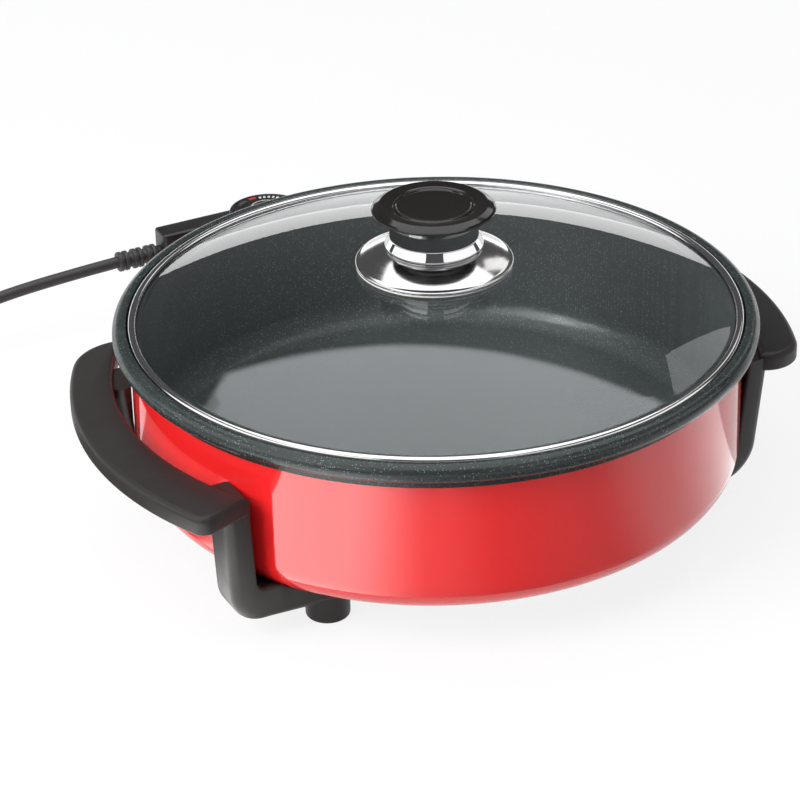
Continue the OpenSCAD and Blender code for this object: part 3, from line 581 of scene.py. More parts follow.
@dataclass
class Shape:
    """Mesh in the making, in millimetres."""

    points: list[Triple] = field(default_factory=list)
    faces: list[tuple[int, ...]] = field(default_factory=list)
    looks: list[int] = field(default_factory=list)

    def lathe(
        self, section: Sequence[Pair], look: Callable[[int], int] = lambda i: 0, closed: bool = False,
        turns: int = 192, centre: Pair = (0.0, 0.0),
    ) -> "Shape":
        """Turn a half section about an upright axis.

        Args:
            section: Radius and height of each point; radius 0 is on the axis.
            look: Material number of the span that starts at a point.
            closed: Whether the last point joins the first.
            turns: Steps around the axis.
            centre: Where the axis stands.

        Returns:
            This shape.
        """
        rings: list[list[int]] = []
        for r, z in section:
            base = len(self.points)
            count = 1 if r < 1e-6 else turns
            for k in range(count):
                x, y = polar(r, 360 * k / turns)
                self.points.append((centre[0] + x, centre[1] + y, z))
            rings.append([base + (k if count > 1 else 0) for k in range(turns)])
        for i in range(len(section) if closed else len(section) - 1):
            a, b = rings[i], rings[(i + 1) % len(section)]
            for k in range(turns):
                m = (k + 1) % turns
                face = tuple(dict.fromkeys((a[k], a[m], b[m], b[k])))
                if len(face) > 2:
                    self.faces.append(face)
                    self.looks.append(look(i))
        return self

    def loft(self, loops: Sequence[Sequence[Sequence[float]]], caps: bool = True) -> "Shape":
        """Skin a row of closed loops that have the same number of points.

        Args:
            loops: The loops, from one end to the other.
            caps: Whether the first and the last loop are closed by a face.

        Returns:
            This shape.
        """
        n, base = len(loops[0]), len(self.points)
        for loop in loops:
            self.points.extend((p[0], p[1], p[2]) for p in loop)
        for j in range(len(loops) - 1):
            for i in range(n):
                a, b = base + j * n + i, base + j * n + (i + 1) % n
                self.faces.append((a, b, b + n, a + n))
        if caps:
            last = base + (len(loops) - 1) * n
            self.faces.append(tuple(range(base, base + n)))
            self.faces.append(tuple(range(last, last + n)))
        self.looks += [0] * (len(self.faces) - len(self.looks))
        return self

    def tube(self, path: Sequence[Vector], radius: float, sides: int) -> "Shape":
        """Sweep a circle along a path that is nowhere upright.

        Args:
            path: Centre line.
            radius: Radius of the circle.
            sides: Steps around it.

        Returns:
            This shape.
        """
        loops = []
        for i, p in enumerate(path):
            along = (path[min(i + 1, len(path) - 1)] - path[max(i - 1, 0)]).normalized()
            u = along.cross(Vector((0, 0, 1))).normalized()
            v = u.cross(along)
            ring = [polar(radius, 360 * k / sides) for k in range(sides)]
            loops.append([p + u * q[0] + v * q[1] for q in ring])
        return self.loft(loops)

    def slab(
        self, outline: Callable[[float], Sequence[Pair]], low: float, high: float, top_round: float,
        low_round: float = 0.0, steps: int = 5,
    ) -> "Shape":
        """Raise an outline into a slab with rounded edges.

        Args:
            outline: Gives the outline drawn in by a distance.
            low: Height of the underside.
            high: Height of the top.
            top_round: Radius of the upper edges.
            low_round: Radius of the lower edges.
            steps: Spans in each rounded edge.

        Returns:
            This shape.
        """
        levels: list[Pair] = []
        if low_round > 0:
            levels += arc((low_round, low + low_round), low_round, 270, 180, steps)
        else:
            levels.append((0.0, low))
        levels += arc((top_round, high - top_round), top_round, 180, 90, steps)
        return self.loft([[(p[0], p[1], z) for p in outline(inset)] for inset, z in levels])

    def moved(self, place: Callable[[Triple], Triple], start: int = 0) -> "Shape":
        """Put every point from number start on through a function."""
        self.points[start:] = [place(p) for p in self.points[start:]]
        return self

    def object(self, name: str, finishes: Sequence[Finish], sharp: float = SHARP) -> Item:
        """Make the Blender object.

        Args:
            name: Name of the piece.
            finishes: Finishes by material number.
            sharp: Edges that turn by more degrees than this stay sharp.

        Returns:
            The new object, in metres.
        """
        mesh = bpy.data.meshes.new(name)
        mesh.from_pydata([(x * MM, y * MM, z * MM) for x, y, z in self.points], [], self.faces)
        for finish in finishes:
            mesh.materials.append(finish.material())
        mesh.polygons.foreach_set("material_index", self.looks)
        build = bmesh.new()
        build.from_mesh(mesh)
        bmesh.ops.recalc_face_normals(build, faces=build.faces)
        build.to_mesh(mesh)
        build.free()
        mesh.polygons.foreach_set("use_smooth", [True] * len(mesh.polygons))
        mesh.set_sharp_from_angle(angle=math.radians(sharp))
        return put(name, mesh)


def carve(piece: Item, tool: Item, join: bool = False) -> None:
    """Cut a tool's shape out of a piece, or join it on, and delete the tool.

    Args:
        piece: Object that is cut.
        tool: Object that cuts.
        join: Whether the tool is joined on instead.
    """
    step = piece.modifiers.new("carve", "BOOLEAN")
    step.object, step.solver = tool, "EXACT"
    step.operation = "UNION" if join else "DIFFERENCE"
    shaped = bpy.data.meshes.new_from_object(piece.evaluated_get(bpy.context.evaluated_depsgraph_get()))
    piece.modifiers.clear()
    old = piece.data
    piece.data = shaped
    shaped.name = piece.name
    shaped.set_sharp_from_angle(angle=math.radians(SHARP))
    bpy.data.meshes.remove(old)
    bpy.data.meshes.remove(tool.data)


def settle(piece: Item, body: Body, nodes: Iterable[str] = ()) -> Item:
    """Fix a piece to its body and hide the solids it stands for.

    Args:
        piece: The piece, in place.
        body: Body that it moves with.
        nodes: Solids that it replaces.

    Returns:
        The piece.
    """
    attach(piece, body.value)
    if nodes:
        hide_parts(*nodes)
    LOG.info("%s: %d faces on %s", piece.name, len(piece.data.polygons), body.value)
    return piece


def dress(finish: Finish, *nodes: str) -> None:
    """Give solids of the frame their finish.

    Args:
        finish: The finish.
        nodes: Names of the solids.
    """
    for node in nodes:
        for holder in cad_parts[node].material_slots:
            holder.material = finish.material()
        LOG.info("%s: %s", node, finish.name)


# Camera and light


@dataclass
class PhotoCamera:
    """Camera at the photograph's place. Lengths in millimetres, angles in degrees."""

    aim: Triple = (-25.89, -9.41, 68.11)
    azimuth: float = -27.1816
    elevation: float = 28.6952
    roll: float = -1.3483
    distance: float = 1432.445
    lens: float = 128.3686
    sensor: float = 36.0
    clip_m: Pair = (0.05, 50.0)

    def build(self) -> None:
        """Make the camera and set it as the scene's."""
        a, e = math.radians(self.azimuth), math.radians(self.elevation)
        back = Vector((math.sin(a) * math.cos(e), -math.cos(a) * math.cos(e), math.sin(e)))
        right = Vector((math.cos(a), math.sin(a), 0.0))
        turn = Matrix((right, back.cross(right), back)).transposed()
        data = bpy.data.cameras.new("photo_camera")
        data.lens, data.sensor_width = self.lens, self.sensor
        data.clip_start, data.clip_end = self.clip_m
        made = put("photo_camera", data)
        made.matrix_world = Matrix.Translation((Vector(self.aim) + back * self.distance) * MM) @ (
            turn @ Matrix.Rotation(math.radians(self.roll), 3, "Z")
        ).to_4x4()
        bpy.context.scene.camera = made


@dataclass
class Studio:
    """White table under a bright square overhead panel, in a dark room.

    Lengths are in millimetres and angles in degrees. The overhead panel reaches, towards each angle, as far
    as the given run per unit of height. The card's stops give its share of brightness at angles from its
    middle, which points to card_turn. Each panel has a glow and four corners, as azimuth and elevation.
    """

    floor_half: float = 6000.0
    floor_z: float = -0.05
    floor_colour: str = "#d9d9d9"
    overhead: float = 2.1
    overhead_colour: str = "#fafbff"
    overhead_reach: tuple[Pair, ...] = ((50.0, 0.855), (140.0, 0.73), (230.0, 0.75), (320.0, 0.6))
    overhead_soft: float = 0.014
    room: float = 0.1
    key_place: Triple = (-1236.0, -200.0, 950.0)
    key_aim: Triple = (0.0, 0.0, 60.0)
    key_size: float = 900.0
    key_watts: float = 34.0
    card_r: Pair = (165.0, 430.0)
    card_z: float = 0.5
    card_spans: int = 48
    card_turn: float = -133.0
    card_glow: float = 3.9
    card_stops: tuple[Pair, ...] = (
        (-89.0, 0.05), (-50.0, 0.05), (-37.0, 1.0), (-10.0, 0.95), (14.0, 0.16), (30.0, 0.07),
        (56.0, 0.1), (78.0, 0.27), (112.0, 0.5),
    )
    panels: tuple[tuple[str, float, tuple[Pair, ...]], ...] = (
        ("side_panel", 1.4, ((33.5, 37.7), (35.6, 20.0), (24.2, 24.0), (22.5, 47.0))),
        ("left_panel", 1.8, ((-230.0, 12.0), (-140.0, 12.0), (-140.0, 42.0), (-230.0, 42.0))),
        ("right_panel", 1.4, ((-95.0, 12.0), (-5.0, 12.0), (-5.0, 36.0), (-95.0, 36.0))),
        ("rear_panel", 2.0, ((5.0, -1.0), (125.0, -1.0), (125.0, 7.0), (5.0, 7.0))),
    )
    panel_away: float = 20.0
    panel_spans: int = 12

    def build(self) -> None:
        """Make the floor, the surroundings, the lamp and the reflectors."""
        bpy.context.scene.view_settings.view_transform = "Standard"
        self.floor()
        self.surroundings()
        self.lamp()
        self.card()
        for name, glow, corners in self.panels:
            self.panel(name, glow, corners)

    def floor(self) -> None:
        """Plain pale table."""
        h, z = self.floor_half, self.floor_z
        sheet = Shape([(-h, -h, z), (h, -h, z), (h, h, z), (-h, h, z)], [(0, 1, 2, 3)], [0])
        finish = GlowingPaper(
            "white_paper_floor", self.floor_colour, 0.9, ior=1.3, tone=0.01, patch_mm=400, grain_mm=3.0,
        )
        sheet.object("floor", [finish])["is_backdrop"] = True

    def surroundings(self) -> None:
        """World that is a bright panel overhead and dark around."""
        world = bpy.data.worlds.new("studio_room")
        tree = empty_tree(world)
        way = add(tree, "ShaderNodeTexCoord").outputs["Generated"]
        past = []
        for towards, reach in self.overhead_reach:
            edge = {1: (*polar(1.0, towards), -reach)}
            dot = add(tree, "ShaderNodeVectorMath", {"operation": "DOT_PRODUCT"}, edge, {0: way})
            past.append(dot.outputs["Value"])
        furthest = past[0]
        for other in past[1:]:
            furthest = combine(tree, "MAXIMUM", furthest, other)
        soft = self.overhead_soft
        light = remap(tree, furthest, (-soft, soft), (self.overhead, self.room), "SMOOTHSTEP")
        tint = {"Color": linear(self.overhead_colour)}
        shade = add(tree, "ShaderNodeBackground", values=tint, links={"Strength": light})
        add(tree, "ShaderNodeOutputWorld", links={"Surface": shade.outputs[0]})
        bpy.context.scene.world = world

    def reflector(self, name: str, glow: float, shape: Shape, turn: float = 0.0) -> Tree:
        """Make a light that only shows in reflections.

        Args:
            name: Name of the reflector.
            glow: Its brightness.
            shape: Its mesh, in metres, before it is turned.
            turn: Its turn about the Z axis, in degrees.

        Returns:
            Its node tree, with the emission node in it.
        """
        made = bpy.data.materials.new(name)
        tree = empty_tree(made)
        shade = add(tree, "ShaderNodeEmission", values={"Strength": glow})
        add(tree, "ShaderNodeOutputMaterial", links={"Surface": shade.outputs[0]})
        mesh = bpy.data.meshes.new(name)
        mesh.from_pydata(shape.points, [], shape.faces)
        mesh.materials.append(made)
        sheet = put(name, mesh)
        sheet.rotation_euler.z = math.radians(turn)
        sheet.visible_camera = sheet.visible_diffuse = False
        sheet.visible_transmission = sheet.visible_shadow = False
        sheet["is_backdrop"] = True
        return tree

    def card(self) -> None:
        """Card on the table round the pan's front, bright at the left, that shows in the enamel."""
        first, last = self.card_stops[0][0], self.card_stops[-1][0]
        (near, far), spans = self.card_r, self.card_spans
        edge = arc((0, 0), near, first, last, spans) + arc((0, 0), far, last, first, spans)
        sheet = Shape([(x * MM, y * MM, self.card_z * MM) for x, y in edge], [tuple(range(len(edge)))])
        tree = self.reflector("table_card", self.card_glow, sheet, self.card_turn)
        place = add(tree, "ShaderNodeTexCoord").outputs["Object"]
        parts = add(tree, "ShaderNodeSeparateXYZ", links={0: place}).outputs
        angle = combine(tree, "ARCTAN2", parts[1], parts[0])
        along = remap(tree, angle, (math.radians(first), math.radians(last)), (0.0, 1.0))
        shades = add(tree, "ShaderNodeValToRGB", links={0: along})
        shades.color_ramp.interpolation = "EASE"
        stops = shades.color_ramp.elements
        while len(stops) < len(self.card_stops):
            stops.new(1.0)
        for stop, (at, share) in zip(stops, self.card_stops):
            stop.position = (at - first) / (last - first)
            stop.color = (share, share, share, 1.0)
        tree.links.new(shades.outputs[0], tree.nodes["Emission"].inputs["Color"])

    def panel(self, name: str, glow: float, corners: Sequence[Pair]) -> None:
        """Far panel that shows in glass, steel and black plastic.

        Args:
            name: Name of the panel.
            glow: Its brightness.
            corners: Azimuth and elevation of its lower and upper corners, all the way round.
        """
        shape = Shape()
        lines = ((corners[0], corners[1]), (corners[3], corners[2]))
        for k in range(self.panel_spans + 1):
            for first, last in lines:
                turn, rise = Vector(first).lerp(Vector(last), k / self.panel_spans)
                flat, high = polar(self.panel_away, rise)
                shape.points.append((*polar(flat, turn), high))
        shape.faces = [(k, k + 2, k + 3, k + 1) for k in range(0, 2 * self.panel_spans, 2)]
        self.reflector(name, glow, shape)

    def lamp(self) -> None:
        """Square softbox at the front left; reflections show the panels instead."""
        data = bpy.data.lights.new("left_softbox", "AREA")
        data.shape, data.size, data.energy = "SQUARE", self.key_size * MM, self.key_watts
        made = put("left_softbox", data)
        place = Vector(self.key_place)
        made.location = place * MM
        made.rotation_euler = (Vector(self.key_aim) - place).to_track_quat("-Z", "Y").to_euler()
        made.visible_camera = made.visible_glossy = False


# The skillet's sub-assemblies


@dataclass
class CordSet:
    """Mains cord with its strain relief, stored coil, tie and plug."""

    cord_d: float = 6.8
    exit: Triple = (-66.5, 263.7, 40.0)
    route: tuple[Pair, ...] = (
        (-84, 39.4), (-97, 38.8), (-110, 38.1), (-123, 37.2), (-136, 35.9), (-149, 34.1), (-162, 31.6),
        (-175, 28.4), (-188, 24.6), (-201, 20.4), (-214, 16), (-227, 11.6), (-238, 8), (-247, 5.6),
        (-255, 4.4),
    )
    coil: Pair = (-262.0, 220.2)
    coil_r: float = 43.5
    coil_turns: float = 4.25
    coil_low: float = 4.4
    coil_pitch: float = 7.6
    layer_step: float = 7.4
    rings: int = 24
    arm_end: float = -39.5
    relief_l: float = 27.0
    relief_ribs: int = 3
    tie_t: float = 0.8
    tie_w: float = 8.0
    plug_l: float = 42.0
    plug_w: float = 34.0

    def turn_r(self, t: float) -> float:
        """Radius of the coil's centre line after t turns."""
        return self.coil_r - self.coil_pitch * min(t, self.coil_turns - t)

    def turn(self, t: float) -> Triple:
        """Point of the coil's centre line after t turns.

        Args:
            t: Turns from the coil's start.

        Returns:
            The point.
        """
        rise = min(1.0, max(0.0, (t - self.coil_turns / 2) / 0.5 + 0.5))
        x, y = polar(self.turn_r(t), 90 + 360 * t)
        z = self.coil_low + self.layer_step * rise * rise * (3 - 2 * rise)
        return (self.coil[0] + x, self.coil[1] + y, z)

    def path(self) -> list[Vector]:
        """Centre line from the strain relief to the plug.

        Returns:
            Its points.
        """
        y = self.exit[1]
        points: list[Triple] = [self.exit] + [(x, y, z) for x, z in self.route]
        count = round(self.coil_turns * self.rings)
        points += [self.turn(i / self.rings) for i in range(count + 1)]
        end = points[-1]
        points += [(end[0], end[1] - y, end[2]) for y in (10, 20, 29.9)]
        return smooth_path(points, 3)

    def build(self) -> None:
        """Make the cord and what is on it."""
        path = self.path()
        cord = Shape().tube(path, self.cord_d / 2, 20).object("mains_cord", [PVC], 60)
        settle(cord, Body.CONTROL, ["cord_run", "cord_coil"])
        end = path[-1]
        plug, tie = self.plug(end), self.tie()
        dress(NICKEL, "plug_pins")
        metres = [p * MM for p in path]
        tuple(metres[0])
        sum((b - a).length for a, b in zip(metres, metres[1:]))
        self.relief()

    def relief(self) -> None:
        """Tapered sleeve with ribs, moulded onto the cord."""
        pitch = (self.relief_l - 1) / self.relief_ribs
        core = self.cord_d / 2
        neck = core + 0.9
        section: list[Triple] = [
            (0, -4.5, 0), (core + 1.3, -4.5, 0.2), (core + 1.3, -2.6, 0), (core + 0.5, -2.6, 0),
            (core + 0.5, 0.1, 0), (neck, 0.2, 0),
        ]
        for i in range(1, self.relief_ribs + 1):
            low, width, wide = pitch * (i - 0.68) + 0.6, pitch * 0.68, core + 2.5 - 0.05 * i
            for share in (0.0, 0.6):
                start, stop = low + share * width, low + (share + 0.4) * width
                section += [(neck, start, 0.3), (wide, start, 0.5), (wide, stop, 0.5)]
                section.append((neck + 0.2 * (1 - share), stop, 0.3))
        section += [(core + 0.3, self.relief_l, 0.2), (0, self.relief_l, 0)]
        shape = Shape().lathe(rounded(section, steps=4), turns=64)
        shape.moved(lambda p: (self.arm_end - p[2], self.exit[1] + p[0], self.exit[2] + p[1]))
        settle(shape.object("strain_sleeve", [PVC]), Body.CONTROL, ["strain_relief"])

    def tie(self) -> Item:
        """Flat band round the coil's turns.

        Returns:
            The piece.
        """
        inner = self.turn_r(self.coil_turns / 2 - 0.375) - self.cord_d / 2 - 1.2
        outer = self.turn_r(0.5) + self.cord_d / 2 + 0.5
        high = self.coil_low + self.layer_step + self.cord_d / 2 + 0.3

        def band(grow: float) -> list[Pair]:
            """Section of the band's inside, grown outwards."""
            y0, y1 = self.coil[1] - outer - grow, self.coil[1] - inner + grow
            z0, z1 = self.tie_t - grow, high + grow
            r = 2.4 + grow
            return rounded([(y0, z0, r), (y1, z0, r), (y1, z1, r), (y0, z1, r)], closed=True, steps=8)

        x0, x1 = self.coil[0] - self.tie_w / 2, self.coil[0] + self.tie_w / 2
        loops = [
            [(x, p[0], p[1]) for p in band(g)]
            for x, g in (
                (x0, 0.2), (x0, self.tie_t - 0.25), (x0 + 0.25, self.tie_t), (x1 - 0.25, self.tie_t),
                (x1, self.tie_t - 0.25), (x1, 0.2), (x1 - 0.2, 0.0), (x0 + 0.2, 0.0), (x0, 0.2),
            )
        ]
        made = Shape().loft(loops, caps=False).object("cord_band", [TIE])
        return settle(made, Body.CONTROL, ["cord_tie"])

    def plug(self, end: Vector) -> Item:
        """Plain moulded plug, flat on the table.

        Args:
            end: End of the cord.

        Returns:
            The piece.
        """
        half, wide, face = end.z - 0.2, self.plug_w / 2, -self.plug_l
        shoulder = face + self.plug_l * 0.4
        stations = (
            (0.0, 5.6, 5.2, 4.8), (-0.8, 6.8, 6.3, 5.2), (-6.0, 8.0, 7.6, 5.0), (-12.0, 9.4, 8.9, 4.8),
            (shoulder + 6, 12.0, 10.4, 4.6), (shoulder + 3, 14.4, 11.0, 4.4),
            (shoulder, 16.4, half - 0.2, 4.2), (shoulder - 3, wide, half, 4.0),
            (face + 1.0, wide, half, 4.0), (face + 0.3, wide - 0.4, half - 0.4, 3.8),
            (face, wide - 1.2, half - 1.2, 3.4),
        )
        loops = []
        for y, w, h, r in stations:
            ring = rounded([(-w, -h, r), (w, -h, r), (w, h, r), (-w, h, r)], closed=True)
            loops.append([(end.x + p[0], end.y + y, end.z + p[1]) for p in ring])
        made = Shape().loft(loops).object("moulded_plug", [PVC], 40)
        return settle(made, Body.CONTROL, ["plug_body"])


@dataclass
class Pan:
    """Pressed pan with a rolled rim, and the heater under it."""

    wall_ro: float = 154.0
    wall_ri: float = 150.5
    base_z: float = 23.0
    floor_z: float = 27.0
    corner_r: float = 18.0
    bead: Pair = (157.0, 105.0)
    bead_r: float = 5.0
    ledge_z: float = 104.0
    ledge_r: float = 155.0

    def build(self) -> None:
        """Make the pan and dress the heater."""
        flat_r = self.wall_ro - self.corner_r
        inner_r = self.corner_r - (self.wall_ro - self.wall_ri)
        join = math.degrees(math.acos((self.wall_ro - self.bead[0]) / self.bead_r))
        lip = math.degrees(math.acos((self.ledge_r - self.bead[0]) / self.bead_r))
        under = [(0.0, self.base_z), (40.0, self.base_z), (90.0, self.base_z), (flat_r, self.base_z)]
        wall = arc((flat_r, self.base_z + self.corner_r), self.corner_r, -90, 0, 16)[1:]
        wall += [(self.wall_ro, z) for z in (55.0, 70.0, 85.0, 95.0)]
        rim = arc(self.bead, self.bead_r, 360 - join, 360 + lip, 28)
        inside = rounded(
            [
                (self.ledge_r, self.bead[1] + 4.58, 0), (self.ledge_r, self.ledge_z, 0.5),
                (self.wall_ri, self.ledge_z, 0.8), (self.wall_ri, self.floor_z + inner_r, 0),
            ],
            steps=4,
        )[1:]
        inside += arc((self.wall_ri - inner_r, self.floor_z + inner_r), inner_r, 0, -90, 14)[1:]
        inside += [(90.0, self.floor_z), (45.0, self.floor_z), (0.0, self.floor_z)]
        section = under + wall + rim + inside
        red, coat = len(under) - 1, len(under) + len(wall) - 1

        def look(i: int) -> int:
            """Number of the finish at a point of the section."""
            return 0 if i < red else 1 if i < coat else 2 if i < coat + len(rim) else 3

        shape = Shape().lathe(section, look, turns=256)
        # The rim's finish is the coating painted darker than inside: painted shade.
        finishes = [ALUMINIUM, ENAMEL, RIM_COAT_PAINTED_DARKER, NONSTICK]
        settle(shape.object("pan_shell", finishes, 28), Body.BASE, ["pan"])
        dress(CAST, "heat_spreader", "probe_guide")
        dress(SHEATH, "heating_element")
        dress(CERAMIC, "element_insulators")
        dress(NICKEL, "terminal_pins")
        dress(PHENOLIC, "terminal_shroud")
        dress(ZINC, "shroud_screws")


@dataclass(frozen=True)
class Leg:
    """Where a leg stands along its handle, how far in it stands and leans, and its bend's radius."""

    y: float
    inward: float
    lean: float
    bend_r: float


@dataclass(frozen=True)
class HandleSide:
    """What differs from one handle to the other: where it is, and its round tip with the leg there."""

    name: str
    ways: Pair
    tip_r: float
    tip_a: float
    leg: Leg


@dataclass
class Handles:
    """Two handles, turned half round from one another: a grip, two legs, beams and feet each."""

    sides: tuple[HandleSide, ...] = (
        HandleSide("left", (-1.0, 1.0), 28.5, 37.0, Leg(62.0, 0.0, 7.0, 22.0)),
        HandleSide("right", (1.0, -1.0), 17.5, 29.5, Leg(70.0, 6.0, 7.0, 22.0)),
    )
    end_leg: Leg = Leg(69.0, -1.5, 3.0, 16.0)
    grip_ri: float = 163.0
    grip_ro: float = 188.0
    skew: float = 8.3
    grip_z: float = 72.5
    grip_top: float = 82.0
    end_a: float = 29.4
    slant: float = 19.0
    edge_round: float = 3.0
    corner: float = 6.0
    tip_share: float = 0.985
    leg_x: float = 147.0
    leg_w: float = 23.0
    leg_d: float = 13.0
    leg_over: float = 7.0
    leg_round: float = 5.0
    leg_edge: float = 1.5
    fillet: float = 5.0
    beam_z: float = 12.0
    beam_top: float = 30.0
    beam_ends: tuple[float, ...] = (-8.0, -7.0, -5.0, -3.0)
    foot_d: float = 22.0
    foot: Pair = (99.688, 71.369)
    stand_h: float = 23.0
    gap: float = 0.05
    spans: int = 14
    bore_d: float = 11.0
    seat_z: float = 15.0
    stud_d: float = 5.5
    pan_r: float = 154.4
    pan_corner: float = 18.0

    def end_point(self, centre: Vector, r: float, inset: float) -> Vector:
        """Point at distance r from a centre that lies inset from the square end.

        Args:
            centre: The centre.
            r: Distance from it.
            inset: Distance from the end's line.

        Returns:
            The point.
        """
        inward, along = Vector(polar(1, 90 - self.slant)), Vector(polar(1, -self.slant))
        h = inward.dot(Vector(polar(self.grip_ri, -self.end_a))) + inset
        return h * inward + (centre.dot(along) + math.sqrt(r * r - (h - centre.dot(inward)) ** 2)) * along

    def outline(self, side: HandleSide, inset: float) -> list[Pair]:
        """Outline of a grip, drawn in by inset.

        Args:
            side: Which handle.
            inset: Distance inside the full outline.

        Returns:
            Points along the outside, round the tip and back along the inside.
        """
        ri, ro, out = self.grip_ri + inset, self.grip_ro - inset, Vector((0.0, -self.skew))
        corner = self.end_point(out, self.grip_ro - self.corner, self.corner)
        corner_a = angle_of(corner - out)
        reach = Vector(polar(self.grip_ri, side.tip_a)) - out
        tip_c = self.grip_ro - side.tip_r
        tip_a = angle_of(reach) - side_angle(tip_c, reach.length, side.tip_r)
        tip = out + Vector(polar(tip_c, tip_a))
        last = angle_of(tip) + side_angle(tip.length, ri, side.tip_r - inset)
        turn = angle_of(Vector(polar(ri, last)) - tip) - tip_a
        points = arc(corner, self.corner - inset, -self.slant - 90, corner_a, 8)
        points += arc(out, ro, corner_a, tip_a, 36)[1:-1]
        points += arc(tip, side.tip_r - inset, tip_a, tip_a + turn * self.tip_share, 22)
        first = angle_of(self.end_point(Vector((0.0, 0.0)), ri, inset))
        return points + arc((0, 0), ri, last, first, len(points) - 1)

    def places(self, leg: Leg) -> list[tuple[Pair, Pair, float]]:
        """Outer point, inner point and width of a leg, from the beam's end up beside the grip.

        Args:
            leg: The leg's place and bend.

        Returns:
            The three, row by row.
        """
        out, inn = (self.leg_x + s * self.leg_d / 2 - self.foot[0] for s in (1, -1))
        tilt = math.atan(leg.lean / (self.grip_z - self.beam_z))
        slope, deg = math.tan(tilt), math.degrees(tilt)
        away = leg.bend_r * (1 - math.sin(tilt)) / math.cos(tilt)
        bend = (out - leg.lean - away, self.beam_z + leg.bend_r)
        low = self.beam_top + self.fillet
        hollow = (inn - (self.grip_z - low) * slope - self.fillet / math.cos(tilt), low)
        outer = arc(bend, leg.bend_r, -90, -deg, 18)
        inner = arc(hollow, self.fillet, -90, -deg, 18)
        rows = []
        for x in self.beam_ends:
            rows.append(((x, self.beam_z), (x, self.beam_top), self.leg_w + 1.5 * x + 2))
        for k in range(self.spans):
            xo, xi = (-2.5 + (p[0] + 2.5) * k / self.spans for p in (bend, hollow))
            rows.append(((xo, self.beam_z), (xi, self.beam_top), self.leg_w))
        rows += [(o, i, self.leg_w) for o, i in zip(outer, inner)]
        rise = self.leg_over
        tops = [Vector((x + rise * slope, self.grip_z + rise)) for x in (out, inn)]
        for k in range(1, self.spans + 1):
            ends = [tuple(Vector(a).lerp(b, k / self.spans)) for a, b in zip((outer[-1], inner[-1]), tops)]
            rows.append((ends[0], ends[1], self.leg_w))
        return rows

    def leg(self, leg: Leg) -> list[list[Triple]]:
        """Loops of a leg on the +Y side: flat towards the pan, rounded on the outside.

        Args:
            leg: The leg's place and bend.

        Returns:
            The loops, clear of the pan.
        """
        rows = self.places(leg)
        first = len(self.beam_ends)
        reach = max(inner[0] for _, inner, _ in rows[first : first + self.spans])
        loops = []
        for outer, inner, width in rows:
            way = Vector(outer) - Vector(inner)
            depth, half = way.length, width / 2
            way.normalize()
            r, edge = min(self.leg_round, half - 2), self.leg_edge
            share = min(1.0, max(0.0, inner[0] / reach))
            x0 = self.foot[0] + inner[0] - leg.inward * share
            y0 = self.foot[1] + (leg.y - self.foot[1]) * share
            side = [(u, v) for v, u in arc((half - r, depth - r), r, 90, 0, 10)]
            side += [(edge - q[1], half - edge + q[0]) for q in arc((0, 0), edge, 0, 90, 4)]
            ring = side + [(u, -v) for u, v in reversed(side)]
            loop = [(x0 + u * way.x, y0 + v, inner[1] + u * way.y) for u, v in ring]
            loops.append([self.clear_of_pan(p) for p in loop])
        return loops

    def clear_of_pan(self, p: Triple) -> Triple:
        """Move a point of the leg out of the pan.

        Args:
            p: The point.

        Returns:
            The point, clear of the pan.
        """
        x, y, z = p
        r = math.hypot(x, y)
        if r >= self.pan_r:
            return p
        if z > self.stand_h + self.pan_corner:
            return (x * self.pan_r / r, y * self.pan_r / r, z)
        over = max(0.0, r - self.pan_r + self.pan_corner)
        under = self.stand_h - self.gap + self.pan_corner - math.sqrt(self.pan_corner**2 - over**2)
        return (x, y, min(z, under))

    def build(self) -> None:
        """Make both handles and dress their fasteners."""
        stud, bore, out = self.stud_d / 2, self.bore_d / 2, self.foot_d / 2
        seat, top = self.seat_z, self.stand_h - self.gap
        hole = [(stud, seat, 0), (bore, seat, 0), (bore, 0, 0.8)]
        post = rounded(hole + [(out, 0, 1.6), (out, top, 0), (stud, top, 0)], closed=True)
        for side in self.sides:
            shape = Shape().slab(
                lambda inset: self.outline(side, inset), self.grip_z, self.grip_top, self.edge_round, 1.0,
                steps=7,
            )
            for end, leg in ((1, side.leg), (-1, self.end_leg)):
                start = len(shape.points)
                shape.loft(self.leg(leg)).moved(lambda p: (p[0], end * p[1], p[2]), start)
                shape.lathe(post, closed=True, turns=64, centre=(self.foot[0], end * self.foot[1]))
            shape.moved(lambda p: (side.ways[0] * p[0], side.ways[1] * p[1], p[2]))
            made = shape.object(f"{side.name}_handle_moulding", [HANDLE], 40)
            settle(made, Body.BASE, [f"{side.name}_handle"])
        dress(ZINC, "handle_studs", "handle_washers", "handle_nuts")


